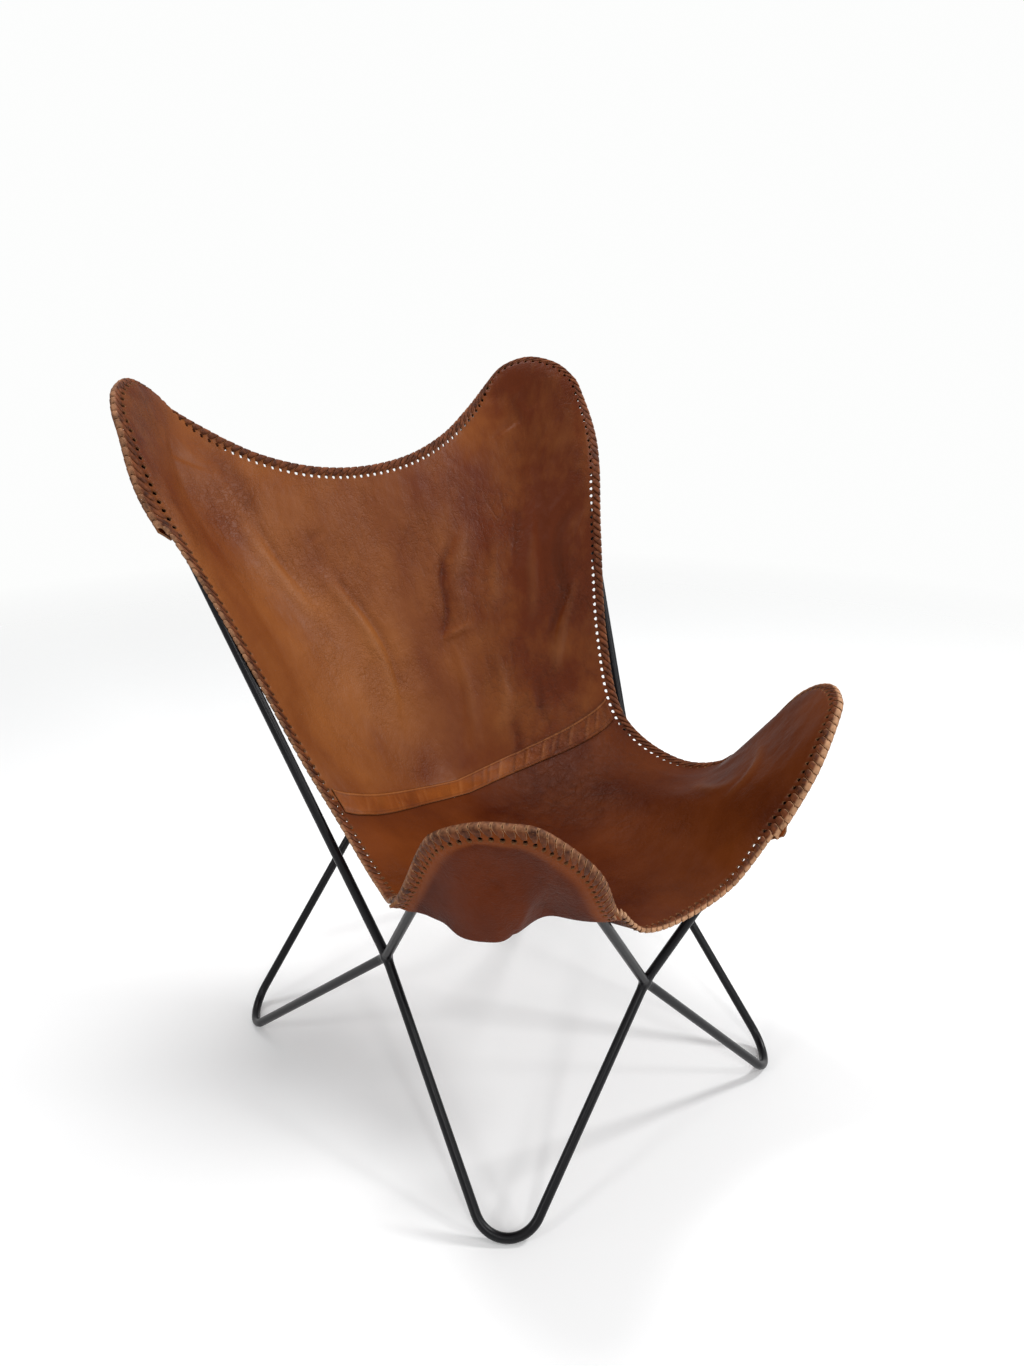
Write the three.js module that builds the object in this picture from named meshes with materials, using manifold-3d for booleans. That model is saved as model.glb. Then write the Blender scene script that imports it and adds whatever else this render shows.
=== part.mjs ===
// Butterfly sling chair: a welded steel rod frame with a laced leather sling
// Millimetres, +Z up, front towards -Y
import * as THREE from "three";
import { mergeVertices } from "three/addons/utils/BufferGeometryUtils.js";
import Module from "manifold-3d";

const wasm = await Module();
wasm.setup();

// Rod frame
const rodDiameter = 12;
const rodRadius = rodDiameter / 2;
const footBendRadius = 40;
const backBendRadius = 65;
const frontBendRadius = 60;
const weldReach = 16;
const weldSwell = 0.6;
const footFlatDepth = 0.4;
const rodSides = 16;
const bendSteps = 12;

// Leather
const leatherThickness = 3;
const bandThickness = 2;
const clearance = 0.3;
const lacingWidth = 15;
const lacingCover = 1.2;
const lacingEdgeHalf = 3.2;
const lacingGap = 1.2;
const chordSag = 0.9;
const backOverhang = 21;
const frontOverhang = 24;
const drapeTop = 20;
const drapeReach = 55;
const deepestLift = 60;
const sheetRise = leatherThickness / 2 + clearance * 1.5;
const foldHeight = 5;
const foldHalfWidth = 26;
const backPocketBag = 8;
const frontPocketBag = 30.8;
const frontPocketLobe = 27.8;

// Mesh steps of the sling
const columns = 28;
const backRows = 19;
const seatRows = 16;
const backEarSteps = 7;
const frontEarSteps = 8;
const fanSteps = 12;

// Where the straight legs of the rods meet or would meet
// Spread is left to right, reach is forwards or backwards
const backPeakSpread = 806;
const backPeakReach = 397;
const backPeakHeight = 1131;
const frontPeakSpread = 634;
const frontPeakReach = 366.5;
const frontPeakHeight = 655;
const sideNodeSpread = 456.8;
const sideNodeReach = 49.5;
const sideNodeHeight = 255;
const frontNodeReach = 269.6;
const frontNodeHeight = 233.5;
const backNodeReach = 256.5;
const backNodeHeight = 357;
const frontFootSpread = 524;
const frontFootReach = 315.2;
const backFootSpread = 576.4;
const backFootReach = 283.5;

// Free edges and low points of the leather, measured from the frame
const topDip = 130.4;
const topBow = 20;
const sideFlare = 33.6;
const sideSlip = 38.5;
const sideRise = 130;
const frontLip = 61.4;
const frontRise = 121.5;
const frontEdgeBow = 17;
const seatRise = 96.5;

// Shapes of the free edges: [x, y, z] shares of the way between two anchors, then a bow share
const topEdgeShares = [
  [0, 0, 0],
  [0.304, 0.047, 0.08],
  [0.582, 0.333, 0.309],
  [0.811, 0.69, 0.649],
];
const sideBackShares = [
  [0.979, 0.875, 0.833],
  [0.523, 0.697, 0.582],
  [0.136, 0.526, 0.298],
  [-0.126, 0.313, 0.082],
  [0, 0, 0],
];
const sideFrontShares = [[0.783, 0.584, 0.26]];
const frontEdgeShares = [
  [0.76, 0.76, 0.706, 1],
  [0.556, 0.556, 0.309, 0.35],
  [0.312, 0.312, 0.067, -0.092],
  [0, 0, 0, 0],
];

// Points of each ear: [share of half the turn of its rod bend, share of the overhang]
const backEarShares = [
  [-0.72, 0.75],
  [-0.4, 0.9],
  [-0.05, 1],
  [0.3, 1],
  [0.58, 1],
  [0.86, 1],
];
const frontEarShares = [
  [1.08, 1],
  [0.67, 1],
  [0.25, 1],
  [-0.1, 1],
  [-0.45, 1],
];
const backTipSteps = 3;
const frontTipSteps = 2;

// Centre line: [run from the top edge, depth from the front edge, height above the seat's low point] shares
const backLineShares = [
  [0, 1, 1],
  [0.16, 0.915, 0.708],
  [0.35, 0.807, 0.387],
  [0.548, 0.677, 0.08],
  [0.585, 0.625, 0.055],
  [0.66, 0.551, 0.024],
  [0.77, 0.372, 0],
];
const seatLineShares = [
  [0.885, 0.179, 0.2],
  [1, 0, 1],
];
// Soft folds of the leather: three [u, v] places along each, and a share of the fold height
const foldShares = [
  [[0.72, 0.2], [0.69, 0.32], [0.62, 0.43], -1],
  [[0.88, 0.24], [0.82, 0.34], [0.7, 0.45], 0.8],
  [[0.32, 0.14], [0.2, 0.22], [0.15, 0.34], 0.8],
  [[-0.7, 0.05], [-0.52, 0.15], [-0.38, 0.28], 0.8],
  [[-0.28, 0.2], [-0.16, 0.32], [-0.15, 0.46], 0.8],
  [[0.72, 0.92], [0.5, 0.8], [0.36, 0.68], 0.8],
  [[-0.72, 0.92], [-0.52, 0.8], [-0.42, 0.7], -0.6],
];
// How the leather hangs from side to side, and how far along it the arches of its ends fade out
const hangCurve = 1.53;
const sagCurve = 1.38;
const archFade = 0.6;
// Free edges of the pockets: how far they bow out, and where round the ear the front ones belly out
const pocketBow = 0.2;
const lobeTurn = 0.594;
const lobeHalfTurn = 0.255;
const bandTopShare = 0.551;
const bandFootShare = 0.586;
const seamShare = (bandTopShare + bandFootShare) / 2;

const between = (a, b, [x, y, z]) =>
  new THREE.Vector3(
    THREE.MathUtils.lerp(a.x, b.x, x),
    THREE.MathUtils.lerp(a.y, b.y, y),
    THREE.MathUtils.lerp(a.z, b.z, z),
  );
const swapSide = (p) => new THREE.Vector3(-p.x, p.y, p.z);
const unit = (a) => a.clone().normalize();
const along = (p, direction, distance) => p.clone().addScaledVector(direction, distance);

// A rod that leaves one weld, bends round a corner and ends at another weld
class BentRod extends THREE.Curve {
  constructor(from, corner, to, radius) {
    super();
    const a = unit(from.clone().sub(corner));
    const b = unit(to.clone().sub(corner));
    this.axis = unit(a.clone().add(b));
    this.across = unit(a.clone().sub(b));
    const halfAngle = a.angleTo(b) / 2;
    this.turn = Math.PI / 2 - halfAngle;
    this.radius = radius;
    this.centre = along(corner, this.axis, radius / Math.sin(halfAngle));
    this.start = along(from, a, -weldReach);
    this.end = along(to, b, -weldReach);
    this.starts = a.negate();
    this.ends = b;
  }
  // Point at a share of half the turn: 1 is the first leg, -1 the second
  bendPoint(share, beyond = 0) {
    const angle = share * this.turn;
    return this.centre
      .clone()
      .addScaledVector(this.axis, -(this.radius + beyond) * Math.cos(angle))
      .addScaledVector(this.across, (this.radius + beyond) * Math.sin(angle));
  }
  getPoint(t) {
    const station = Math.round(t * (bendSteps + 2));
    if (station === 0) return this.start.clone();
    if (station === bendSteps + 2) return this.end.clone();
    return this.bendPoint(1 - (2 * (station - 1)) / bendSteps);
  }
  getPointAt(t) {
    return this.getPoint(t);
  }
  getTangentAt(t) {
    const station = Math.round(t * (bendSteps + 2));
    if (station <= 1) return this.starts.clone();
    if (station > bendSteps) return this.ends.clone();
    const angle = (1 - (2 * (station - 1)) / bendSteps) * this.turn;
    return unit(
      this.axis.clone().multiplyScalar(-Math.sin(angle)).addScaledVector(this.across, -Math.cos(angle)),
    );
  }
}

const solidOf = (geometry) => {
  const bare = new THREE.BufferGeometry();
  bare.setAttribute("position", geometry.getAttribute("position"));
  if (geometry.index) bare.setIndex(geometry.index);
  const merged = mergeVertices(bare, 1e-4);
  return new wasm.Manifold(
    new wasm.Mesh({
      numProp: 3,
      vertProperties: new Float32Array(merged.attributes.position.array),
      triVerts: new Uint32Array(merged.index.array),
    }),
  );
};

const geometryOf = (solid) => {
  const mesh = solid.getMesh();
  const geometry = new THREE.BufferGeometry();
  geometry.setAttribute("position", new THREE.BufferAttribute(mesh.vertProperties, mesh.numProp));
  geometry.setIndex(new THREE.BufferAttribute(mesh.triVerts, 1));
  return flatShaded(geometry);
};

const flatShaded = (geometry) => {
  const flat = geometry.index ? geometry.toNonIndexed() : geometry;
  flat.computeVertexNormals();
  return flat;
};

const chair = new THREE.Group();
chair.name = "butterfly_sling_chair";

const addPart = (name, geometry, look) => {
  const mesh = new THREE.Mesh(geometry, new THREE.MeshStandardMaterial(look));
  mesh.name = name;
  chair.add(mesh);
  return mesh;
};

const rodLook = { color: 0x1c1d20, roughness: 0.42, metalness: 0.35 };
const weldLook = { color: 0x191a1c, roughness: 0.5, metalness: 0.3 };
const backLook = { color: 0x7a4626, roughness: 0.5, metalness: 0 };
const seatLook = { color: 0x6b3318, roughness: 0.48, metalness: 0 };
const bandLook = { color: 0x96582c, roughness: 0.55, metalness: 0 };
const pocketLook = { color: 0x7c4029, roughness: 0.55, metalness: 0 };
const lacingLook = { color: 0x6a3c22, roughness: 0.65, metalness: 0 };

// Frame: four welds, four upper hoops and four foot hoops
const corner = {
  backPeak: new THREE.Vector3(backPeakSpread / 2, backPeakReach, backPeakHeight),
  frontPeak: new THREE.Vector3(frontPeakSpread / 2, -frontPeakReach, frontPeakHeight),
  sideNode: new THREE.Vector3(sideNodeSpread / 2, -sideNodeReach, sideNodeHeight),
  frontNode: new THREE.Vector3(0, -frontNodeReach, frontNodeHeight),
  backNode: new THREE.Vector3(0, backNodeReach, backNodeHeight),
  frontFoot: new THREE.Vector3(frontFootSpread / 2, -frontFootReach, 0),
  backFoot: new THREE.Vector3(backFootSpread / 2, backFootReach, 0),
};

// Lowers or raises a foot corner until the bend stands on the floor
const groundedFoot = (foot, from, to) => {
  const grounded = foot.clone();
  for (let pass = 0; pass < 30; pass++) {
    const rod = new BentRod(from, grounded, to, footBendRadius);
    let lowest = Infinity;
    for (let i = 0; i <= 80; i++) lowest = Math.min(lowest, rod.bendPoint(1 - i / 40).z);
    grounded.z += rodRadius - footFlatDepth - lowest;
  }
  return grounded;
};

const rodSection = new THREE.Shape(
  Array.from({ length: rodSides }, (_, i) => {
    const angle = (2 * Math.PI * i) / rodSides;
    return new THREE.Vector2(Math.cos(angle), Math.sin(angle)).multiplyScalar(rodRadius);
  }),
);
const rodGeometry = (rod) =>
  new THREE.ExtrudeGeometry(rodSection, { extrudePath: rod, steps: bendSteps + 2 });

const floorBlock = solidOf(
  new THREE.BoxGeometry(2 * backPeakSpread, 4 * backPeakReach, sideNodeHeight).translate(
    0,
    0,
    -sideNodeHeight / 2,
  ),
);

const hoops = [];
const arms = { side_left: [], side_right: [], front: [], back: [] };
for (const [side, place] of [["left", swapSide], ["right", (p) => p.clone()]]) {
  const sideNode = place(corner.sideNode);
  for (const [end, peak, foot, node, bend] of [
    ["back", corner.backPeak, corner.backFoot, corner.backNode, backBendRadius],
    ["front", corner.frontPeak, corner.frontFoot, corner.frontNode, frontBendRadius],
  ]) {
    const hoop = new BentRod(sideNode, place(peak), node, bend);
    hoop.place = end;
    hoop.side = side;
    hoops.push(hoop);
    addPart(`hoop_${end}_${side}`, flatShaded(rodGeometry(hoop)), rodLook);
    const ground = groundedFoot(place(foot), sideNode, node);
    const leg = new BentRod(sideNode, ground, node, footBendRadius);
    const grounded = solidOf(rodGeometry(leg)).subtract(floorBlock);
    addPart(`foot_hoop_${end}_${side}`, geometryOf(grounded), rodLook);
    for (const rod of [hoop, leg]) {
      arms[`side_${side}`].push(rod.starts);
      arms[end].push(rod.ends.clone().negate());
    }
  }
}
// The welds: short mitred stubs that run together into a ground bead
for (const [name, node] of [
  ["side_left", swapSide(corner.sideNode)],
  ["side_right", corner.sideNode],
  ["front", corner.frontNode],
  ["back", corner.backNode],
]) {
  const stubLength = weldReach - clearance;
  let weld = solidOf(new THREE.SphereGeometry(rodRadius + weldSwell, rodSides, rodSides / 2));
  for (const arm of arms[name]) {
    const stub = new THREE.CylinderGeometry(rodRadius, rodRadius, stubLength, rodSides);
    stub.translate(0, stubLength / 2, 0);
    stub.applyQuaternion(new THREE.Quaternion().setFromUnitVectors(new THREE.Vector3(0, 1, 0), arm));
    weld = weld.add(solidOf(stub));
  }
  addPart(`weld_${name}`, geometryOf(weld).translate(node.x, node.y, node.z), weldLook);
}

// Sling: a patch between four edge curves, with its own centre line
const rightHoop = (end) => hoops.find((hoop) => hoop.place === end && hoop.side === "right");
const earPoints = (end, table, overhang) =>
  table.map(([turn, share]) => {
    const reach = overhang * share;
    const strip = Math.min(lacingWidth, reach - rodRadius - 2 * lacingGap);
    const hoop = rightHoop(end);
    return { point: hoop.bendPoint(turn, reach), inner: hoop.bendPoint(turn, reach - strip) };
  });
const edgePoints = (from, to, table) =>
  table.map((shares) => {
    const point = between(from, to, shares);
    point.y -= frontEdgeBow * (shares[3] ?? 0);
    return { point };
  });
const backEarRim = earPoints("back", backEarShares, backOverhang);
const frontEarRim = earPoints("front", frontEarShares, frontOverhang);
const backEarTip = backEarRim[backTipSteps].point;
const topCentre = new THREE.Vector3(0, backEarTip.y + topBow, backEarTip.z - topDip);
const frontCentre = new THREE.Vector3(0, corner.frontNode.y - frontLip, corner.frontNode.z + frontRise);
const sideLow = new THREE.Vector3(
  corner.sideNode.x + sideFlare,
  corner.sideNode.y - sideSlip,
  corner.sideNode.z + sideRise,
);
const rim = [
  ...edgePoints(topCentre, backEarRim[0].point, topEdgeShares),
  ...backEarRim,
  ...edgePoints(sideLow, backEarRim.at(-1).point, sideBackShares),
  ...edgePoints(sideLow, frontEarRim[0].point, sideFrontShares),
  ...frontEarRim,
  ...edgePoints(frontCentre, frontEarRim.at(-1).point, frontEdgeShares),
];
const halfLoop = rim.map(({ point }) => point);
const backTip = topEdgeShares.length + backTipSteps;
const frontTip = halfLoop.length - frontEdgeShares.length - frontEarShares.length + frontTipSteps;

const mirroredLoop = (half) => [...half, ...half.slice(1, -1).reverse().map(swapSide)];

// Even steps along a stretch of a closed loop of points
const evenCurve = (loop, from, to) => {
  const curve = new THREE.CatmullRomCurve3(loop, true, "catmullrom", 0.5);
  const samples = 300;
  const points = [];
  const lengths = [0];
  for (let i = 0; i <= samples; i++) {
    points.push(curve.getPoint((from + ((to - from) * i) / samples) / loop.length));
    if (i) lengths.push(lengths[i - 1] + points[i].distanceTo(points[i - 1]));
  }
  return (share) => {
    const wanted = share * lengths[samples];
    let i = 1;
    while (i < samples && lengths[i] < wanted) i++;
    const part = (wanted - lengths[i - 1]) / (lengths[i] - lengths[i - 1]);
    return points[i - 1].clone().lerp(points[i], part);
  };
};

// Smooth line through [run, depth, height] rows
const centreLine = (rows) => {
  const slope = (i) => {
    const a = rows[Math.max(i - 1, 0)];
    const b = rows[Math.min(i + 1, rows.length - 1)];
    return [1, 2].map((k) => (b[k] - a[k]) / (b[0] - a[0]));
  };
  return (run) => {
    let i = 0;
    while (i < rows.length - 2 && rows[i + 1][0] < run) i++;
    const [a, b] = [rows[i], rows[i + 1]];
    const step = b[0] - a[0];
    const t = (run - a[0]) / step;
    const [ma, mb] = [slope(i), slope(i + 1)];
    const value = (k) =>
      (2 * t ** 3 - 3 * t ** 2 + 1) * a[k] +
      (t ** 3 - 2 * t ** 2 + t) * step * ma[k - 1] +
      (3 * t ** 2 - 2 * t ** 3) * b[k] +
      (t ** 3 - t ** 2) * step * mb[k - 1];
    return new THREE.Vector3(0, value(1), value(2));
  };
};

// Patch over u (-1 left edge, 1 right edge) and v (0 top edge, 1 front edge)
const patchOf = (half) => {
  const loop = mirroredLoop(half);
  const top = evenCurve(loop, 0, backTip);
  const side = evenCurve(loop, backTip, frontTip);
  const front = evenCurve(loop, half.length - 1, frontTip);
  const lowHeight = corner.frontNode.z + seatRise;
  const lineRows = (table, end) =>
    table.map(([run, y, z]) => [
      run,
      THREE.MathUtils.lerp(half.at(-1).y, half[0].y, y),
      THREE.MathUtils.lerp(lowHeight, end.z, z),
    ]);
  const downTheBack = lineRows(backLineShares, half[0]);
  const centre = centreLine([...downTheBack, ...lineRows(seatLineShares, half.at(-1))]);
  const [backCorner, frontCorner] = [top(1), front(1)];
  // A plain curve under each end edge; the edge's own arch stands on it and fades out along the sling
  const hang = (edge, reach) => {
    const [middle, end] = [edge(0), edge(1)];
    return between(middle, end, [reach, reach ** hangCurve, reach ** hangCurve]);
  };
  const fade = (v) => Math.cos((Math.PI / 2) * Math.min(v / archFade, 1)) ** 2;
  const at = (u, v) => {
    const reach = Math.abs(u);
    const rim = side(v);
    const ends = backCorner.clone().lerp(frontCorner, v);
    const [topHang, frontHang] = [hang(top, reach), hang(front, reach)];
    const mix = topHang.clone().lerp(frontHang, v).add(rim).sub(ends);
    mix.add(top(reach).sub(topHang).multiplyScalar(fade(v)));
    mix.add(front(reach).sub(frontHang).multiplyScalar(fade(1 - v)));
    mix.x += (reach - 1) * (rim.x - ends.x);
    const middle = top(0).lerp(front(0), v).add(rim).sub(ends);
    const fix = centre(v).sub(middle).multiplyScalar(Math.cos((Math.PI / 2) * reach) ** sagCurve);
    mix.y += fix.y;
    mix.z += fix.z;
    return u < 0 ? swapSide(mix) : mix;
  };
  const normal = (u, v) => {
    const [cu, cv] = [THREE.MathUtils.clamp(u, -0.96, 0.96), THREE.MathUtils.clamp(v, 0.03, 0.97)];
    const step = 0.01;
    const du = at(cu + step, cv).sub(at(cu - step, cv));
    const dv = at(cu, cv + step).sub(at(cu, cv - step));
    return unit(dv.cross(du));
  };
  return { at, normal };
};

// The lacing covers a strip inside the outer edge; the panels stop where it starts
const outerPatch = patchOf(halfLoop);
const outerLoop = mirroredLoop(halfLoop);
const loopSpot = (i) => {
  if (i <= backTip) return [i / backTip, 0];
  if (i <= frontTip) return [1, (i - backTip) / (frontTip - backTip)];
  return [(halfLoop.length - 1 - i) / (halfLoop.length - 1 - frontTip), 1];
};
const innerLoop = halfLoop.map((point, i) => {
  if (rim[i].inner) return rim[i].inner;
  const next = outerLoop[(i + 1) % outerLoop.length];
  const last = outerLoop[(i + outerLoop.length - 1) % outerLoop.length];
  const inward = unit(unit(next.clone().sub(last)).cross(outerPatch.normal(...loopSpot(i))));
  const moved = along(point, inward, lacingWidth);
  if (i === 0 || i === halfLoop.length - 1) moved.x = 0;
  return moved;
});
const innerPatch = patchOf(innerLoop);

// How far the leather lifts off its rest surface to pass over a rod
const hoopLines = hoops.map((hoop) =>
  Array.from({ length: bendSteps + 3 }, (_, i) => hoop.getPoint(i / (bendSteps + 2))),
);
const nearestOn = (line, p) => {
  let best = { apart: Infinity };
  for (let i = 1; i < line.length; i++) {
    const spot = new THREE.Line3(line[i - 1], line[i]).closestPointToPoint(p, true, new THREE.Vector3());
    const apart = spot.distanceTo(p);
    if (apart < best.apart) best = { apart, spot, way: unit(line[i].clone().sub(line[i - 1])) };
  }
  return best;
};
const liftOver = (p, normal, half = leatherThickness / 2) => {
  const needed = rodRadius + clearance + chordSag + half;
  let lift = 0;
  for (const line of hoopLines) {
    const { spot, way } = nearestOn(line, p);
    const gap = p.clone().sub(spot);
    const upward = along(normal, way, -normal.dot(way));
    const height = gap.dot(normal);
    const slant = upward.length();
    const beside = Math.sqrt(Math.max(gap.lengthSq() - height ** 2, 0));
    if (beside > drapeReach || Math.abs(height) > deepestLift) continue;
    const run = Math.max(beside - drapeTop, 0) / (drapeReach - drapeTop);
    const fall = (1 + Math.cos(Math.PI * run)) / 2;
    lift = Math.max(lift, ((needed - gap.dot(upward) / slant) / slant - sheetRise) * fall);
  }
  return lift;
};

// Soft folds of the sheet, as a height above the smooth patch
const folds = foldShares.map(([a, b, c, share]) => ({
  line: [a, b, c].map(([u, v]) => outerPatch.at(u, v)),
  height: foldHeight * share,
}));
const foldRise = (p) =>
  folds.reduce((sum, { line, height }) => {
    const away = nearestOn(line, p).apart / foldHalfWidth;
    return sum + height * Math.exp(-(away ** 2));
  }, 0);

// Middle of a leather sheet on the sitter's side (1) or behind the rods (-1)
const leatherSpot = (patch, u, v, face = 1, extra = 0) => {
  const smooth = patch.at(u, v);
  const normal = patch.normal(u, v);
  const base = face > 0 ? along(smooth, normal, foldRise(smooth)) : smooth;
  const facing = normal.clone().multiplyScalar(face);
  const point = along(base, facing, sheetRise + liftOver(base, facing) + extra);
  return { point, normal };
};

// Closed sheet from a grid of spots
const sheetGeometry = (grid, thickness) => {
  const rows = grid.length;
  const across = grid[0].length;
  const positions = [];
  for (const face of [1, -1])
    for (const row of grid)
      for (const { point, normal } of row)
        positions.push(...along(point, normal, (face * thickness) / 2).toArray());
  const index = (face, i, j) => (face * rows + i) * across + j;
  const triangles = [];
  const quad = (a, b, c, d) => triangles.push(a, b, c, a, c, d);
  for (let i = 0; i + 1 < rows; i++)
    for (let j = 0; j + 1 < across; j++) {
      quad(index(0, i, j), index(0, i + 1, j), index(0, i + 1, j + 1), index(0, i, j + 1));
      quad(index(1, i, j), index(1, i, j + 1), index(1, i + 1, j + 1), index(1, i + 1, j));
    }
  const rim = (a, b) => quad(index(0, ...a), index(0, ...b), index(1, ...b), index(1, ...a));
  for (let j = 0; j + 1 < across; j++) {
    rim([0, j], [0, j + 1]);
    rim([rows - 1, j + 1], [rows - 1, j]);
  }
  for (let i = 0; i + 1 < rows; i++) {
    rim([i + 1, 0], [i, 0]);
    rim([i, across - 1], [i + 1, across - 1]);
  }
  const geometry = new THREE.BufferGeometry();
  geometry.setAttribute("position", new THREE.Float32BufferAttribute(positions, 3));
  geometry.setIndex(triangles);
  return flatShaded(geometry);
};

// Closed bar through rings of points
const barGeometry = (rings) => {
  const sides = rings[0].length;
  const triangles = [];
  for (let i = 0; i + 1 < rings.length; i++)
    for (let j = 0; j < sides; j++) {
      const [a, b] = [i * sides + j, i * sides + ((j + 1) % sides)];
      triangles.push(a, b, b + sides, a, b + sides, a + sides);
    }
  const last = (rings.length - 1) * sides;
  for (let j = 1; j + 1 < sides; j++) {
    triangles.push(0, j + 1, j);
    triangles.push(last, last + j, last + j + 1);
  }
  const geometry = new THREE.BufferGeometry();
  const positions = rings.flat().flatMap((p) => p.toArray());
  geometry.setAttribute("position", new THREE.Float32BufferAttribute(positions, 3));
  geometry.setIndex(triangles);
  return flatShaded(geometry);
};

const uShares = Array.from({ length: columns + 1 }, (_, i) => (2 * i) / columns - 1);
const backStep = bandTopShare / backRows;
const seatStep = (1 - bandFootShare) / seatRows;
const backShares = Array.from({ length: backRows + 1 }, (_, i) => backStep * i);
const seatShares = Array.from({ length: seatRows + 1 }, (_, i) => bandFootShare + seatStep * i);
const seamGapShare = clearance / outerPatch.at(1, 0).distanceTo(outerPatch.at(1, 1));

// Back and seat panels
const panel = (name, shares, look) =>
  addPart(
    name,
    sheetGeometry(
      shares.map((v) => uShares.map((u) => leatherSpot(innerPatch, u, v))),
      leatherThickness,
    ),
    look,
  );
panel("back_panel", [...backShares, seamShare - seamGapShare], backLook);
panel("seat_panel", [seamShare + seamGapShare, ...seatShares], seatLook);

// Seam band over the joint of the two panels
const bandRise = leatherThickness / 2 + clearance + bandThickness / 2;
addPart(
  "seam_band",
  sheetGeometry(
    [bandTopShare, seamShare - seamGapShare, seamShare + seamGapShare, bandFootShare].map((v) =>
      uShares.map((u) => leatherSpot(innerPatch, u, v, 1, bandRise)),
    ),
    bandThickness,
  ),
  bandLook,
);

// Pockets behind the ears, sewn in along the lacing and open towards the seat
for (const [side, sign] of [["left", -1], ["right", 1]])
  for (const [end, steps, bag, lobe, vStep] of [
    ["back", backEarSteps, backPocketBag, 0, backStep],
    ["front", frontEarSteps, frontPocketBag, frontPocketLobe, -seatStep],
  ]) {
    const start = end === "back" ? 0 : 1;
    const grid = Array.from({ length: steps }, (_, i) => {
      const run = (i + 1) / steps;
      const row = Array.from({ length: fanSteps + 1 }, (_, k) => {
        const turn = k / fanSteps;
        const bow = Math.sin(Math.PI * turn);
        const out = steps * run * (1 + pocketBow * bow * run);
        const u = sign * (1 - (out * (1 - turn) * 2) / columns);
        const v = start + vStep * out * turn;
        const belly = Math.exp(-(((turn - lobeTurn) / lobeHalfTurn) ** 4));
        return leatherSpot(innerPatch, u, v, -1, (bag * bow + lobe * belly) * run ** 2);
      });
      return (end === "back") === (sign > 0) ? row : row.reverse();
    });
    addPart(`pocket_${end}_${side}`, sheetGeometry(grid, leatherThickness), pocketLook);
  }

// Lacing over the edges: one run per free edge and one round each ear
const lacingRing = ([u, v], isEar) => {
  const inner = innerPatch.at(u, v);
  const outer = outerPatch.at(u, v);
  const normal = innerPatch.normal(u, v);
  const way = unit(outer.clone().sub(inner));
  const half = leatherThickness / 2 + lacingCover;
  const lift = (base, face) =>
    sheetRise + liftOver(base, normal.clone().multiplyScalar(face), isEar ? undefined : half);
  const above = lift(inner, 1);
  const below = isEar ? lift(inner, -1) : -above;
  const aboveOut = isEar ? sheetRise : lift(outer, 1);
  const belowOut = isEar ? sheetRise : -aboveOut;
  const spot = (share, height) =>
    inner
      .clone()
      .lerp(outer, share)
      .addScaledVector(way, lacingGap * (1 - share))
      .addScaledVector(normal, height);
  const mid = (a, b) => (a + b) / 2;
  return [
    spot(0, above + half),
    spot(0.5, mid(above, aboveOut) + half),
    spot(0.85, aboveOut + lacingEdgeHalf * 0.8),
    spot(1, mid(aboveOut, -belowOut) + lacingEdgeHalf * 0.4),
    spot(1, mid(aboveOut, -belowOut) - lacingEdgeHalf * 0.4),
    spot(0.85, -belowOut - lacingEdgeHalf * 0.8),
    spot(0.5, -mid(below, belowOut) - half),
    spot(0, -below - half),
  ];
};

const sideShares = [...backShares, ...seatShares];
const earSpots = (start, steps, shares) => [
  ...uShares.slice(columns - steps).map((u) => [u, start]),
  ...shares.map((v) => [1, v]),
];
const runs = {
  top: uShares.slice(backEarSteps, columns - backEarSteps + 1).map((u) => [u, 0]),
  front: uShares.slice(frontEarSteps, columns - frontEarSteps + 1).map((u) => [u, 1]),
};
const sideRun = sideShares.slice(backEarSteps, sideShares.length - frontEarSteps).map((v) => [1, v]);
const backEar = earSpots(0, backEarSteps, sideShares.slice(1, backEarSteps + 1));
const frontEar = earSpots(1, frontEarSteps, sideShares.slice(-frontEarSteps - 1, -1).reverse());
for (const [side, sign] of [["left", -1], ["right", 1]]) {
  const place = (spots) => spots.map(([u, v]) => [sign * u, v]);
  runs[`side_${side}`] = place(sideRun);
  runs[`ear_back_${side}`] = place(backEar);
  runs[`ear_front_${side}`] = place(frontEar);
}
for (const [name, spots] of Object.entries(runs)) {
  const isEar = name.startsWith("ear");
  const rings = spots.map((spot, i) => {
    const ends = i === 0 ? 1 : i === spots.length - 1 ? -1 : 0;
    const ring = lacingRing(spot, isEar);
    if (!ends) return ring;
    const other = lacingRing(spots[i + ends], isEar);
    return ring.map((p, k) => along(p, unit(other[k].clone().sub(p)), clearance));
  });
  const first = rings[0];
  const edge = first[1].clone().sub(first[0]);
  const across = first[7].clone().sub(first[0]);
  const forward = rings[1][0].clone().sub(first[0]);
  if (edge.cross(across).dot(forward) < 0) rings.forEach((ring) => ring.reverse());
  addPart(`lacing_${name}`, barGeometry(rings), lacingLook);
}

// The origin lies on the floor under the middle of the whole chair
const reach = new THREE.Box3().setFromObject(chair);
chair.position.y = -reach.getCenter(new THREE.Vector3()).y;

export default chair;
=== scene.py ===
# Butterfly sling chair: a black rod frame with a laced brown leather sling
import math
import bmesh
import bpy
import numpy as np
from mathutils import Matrix, Vector


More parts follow.
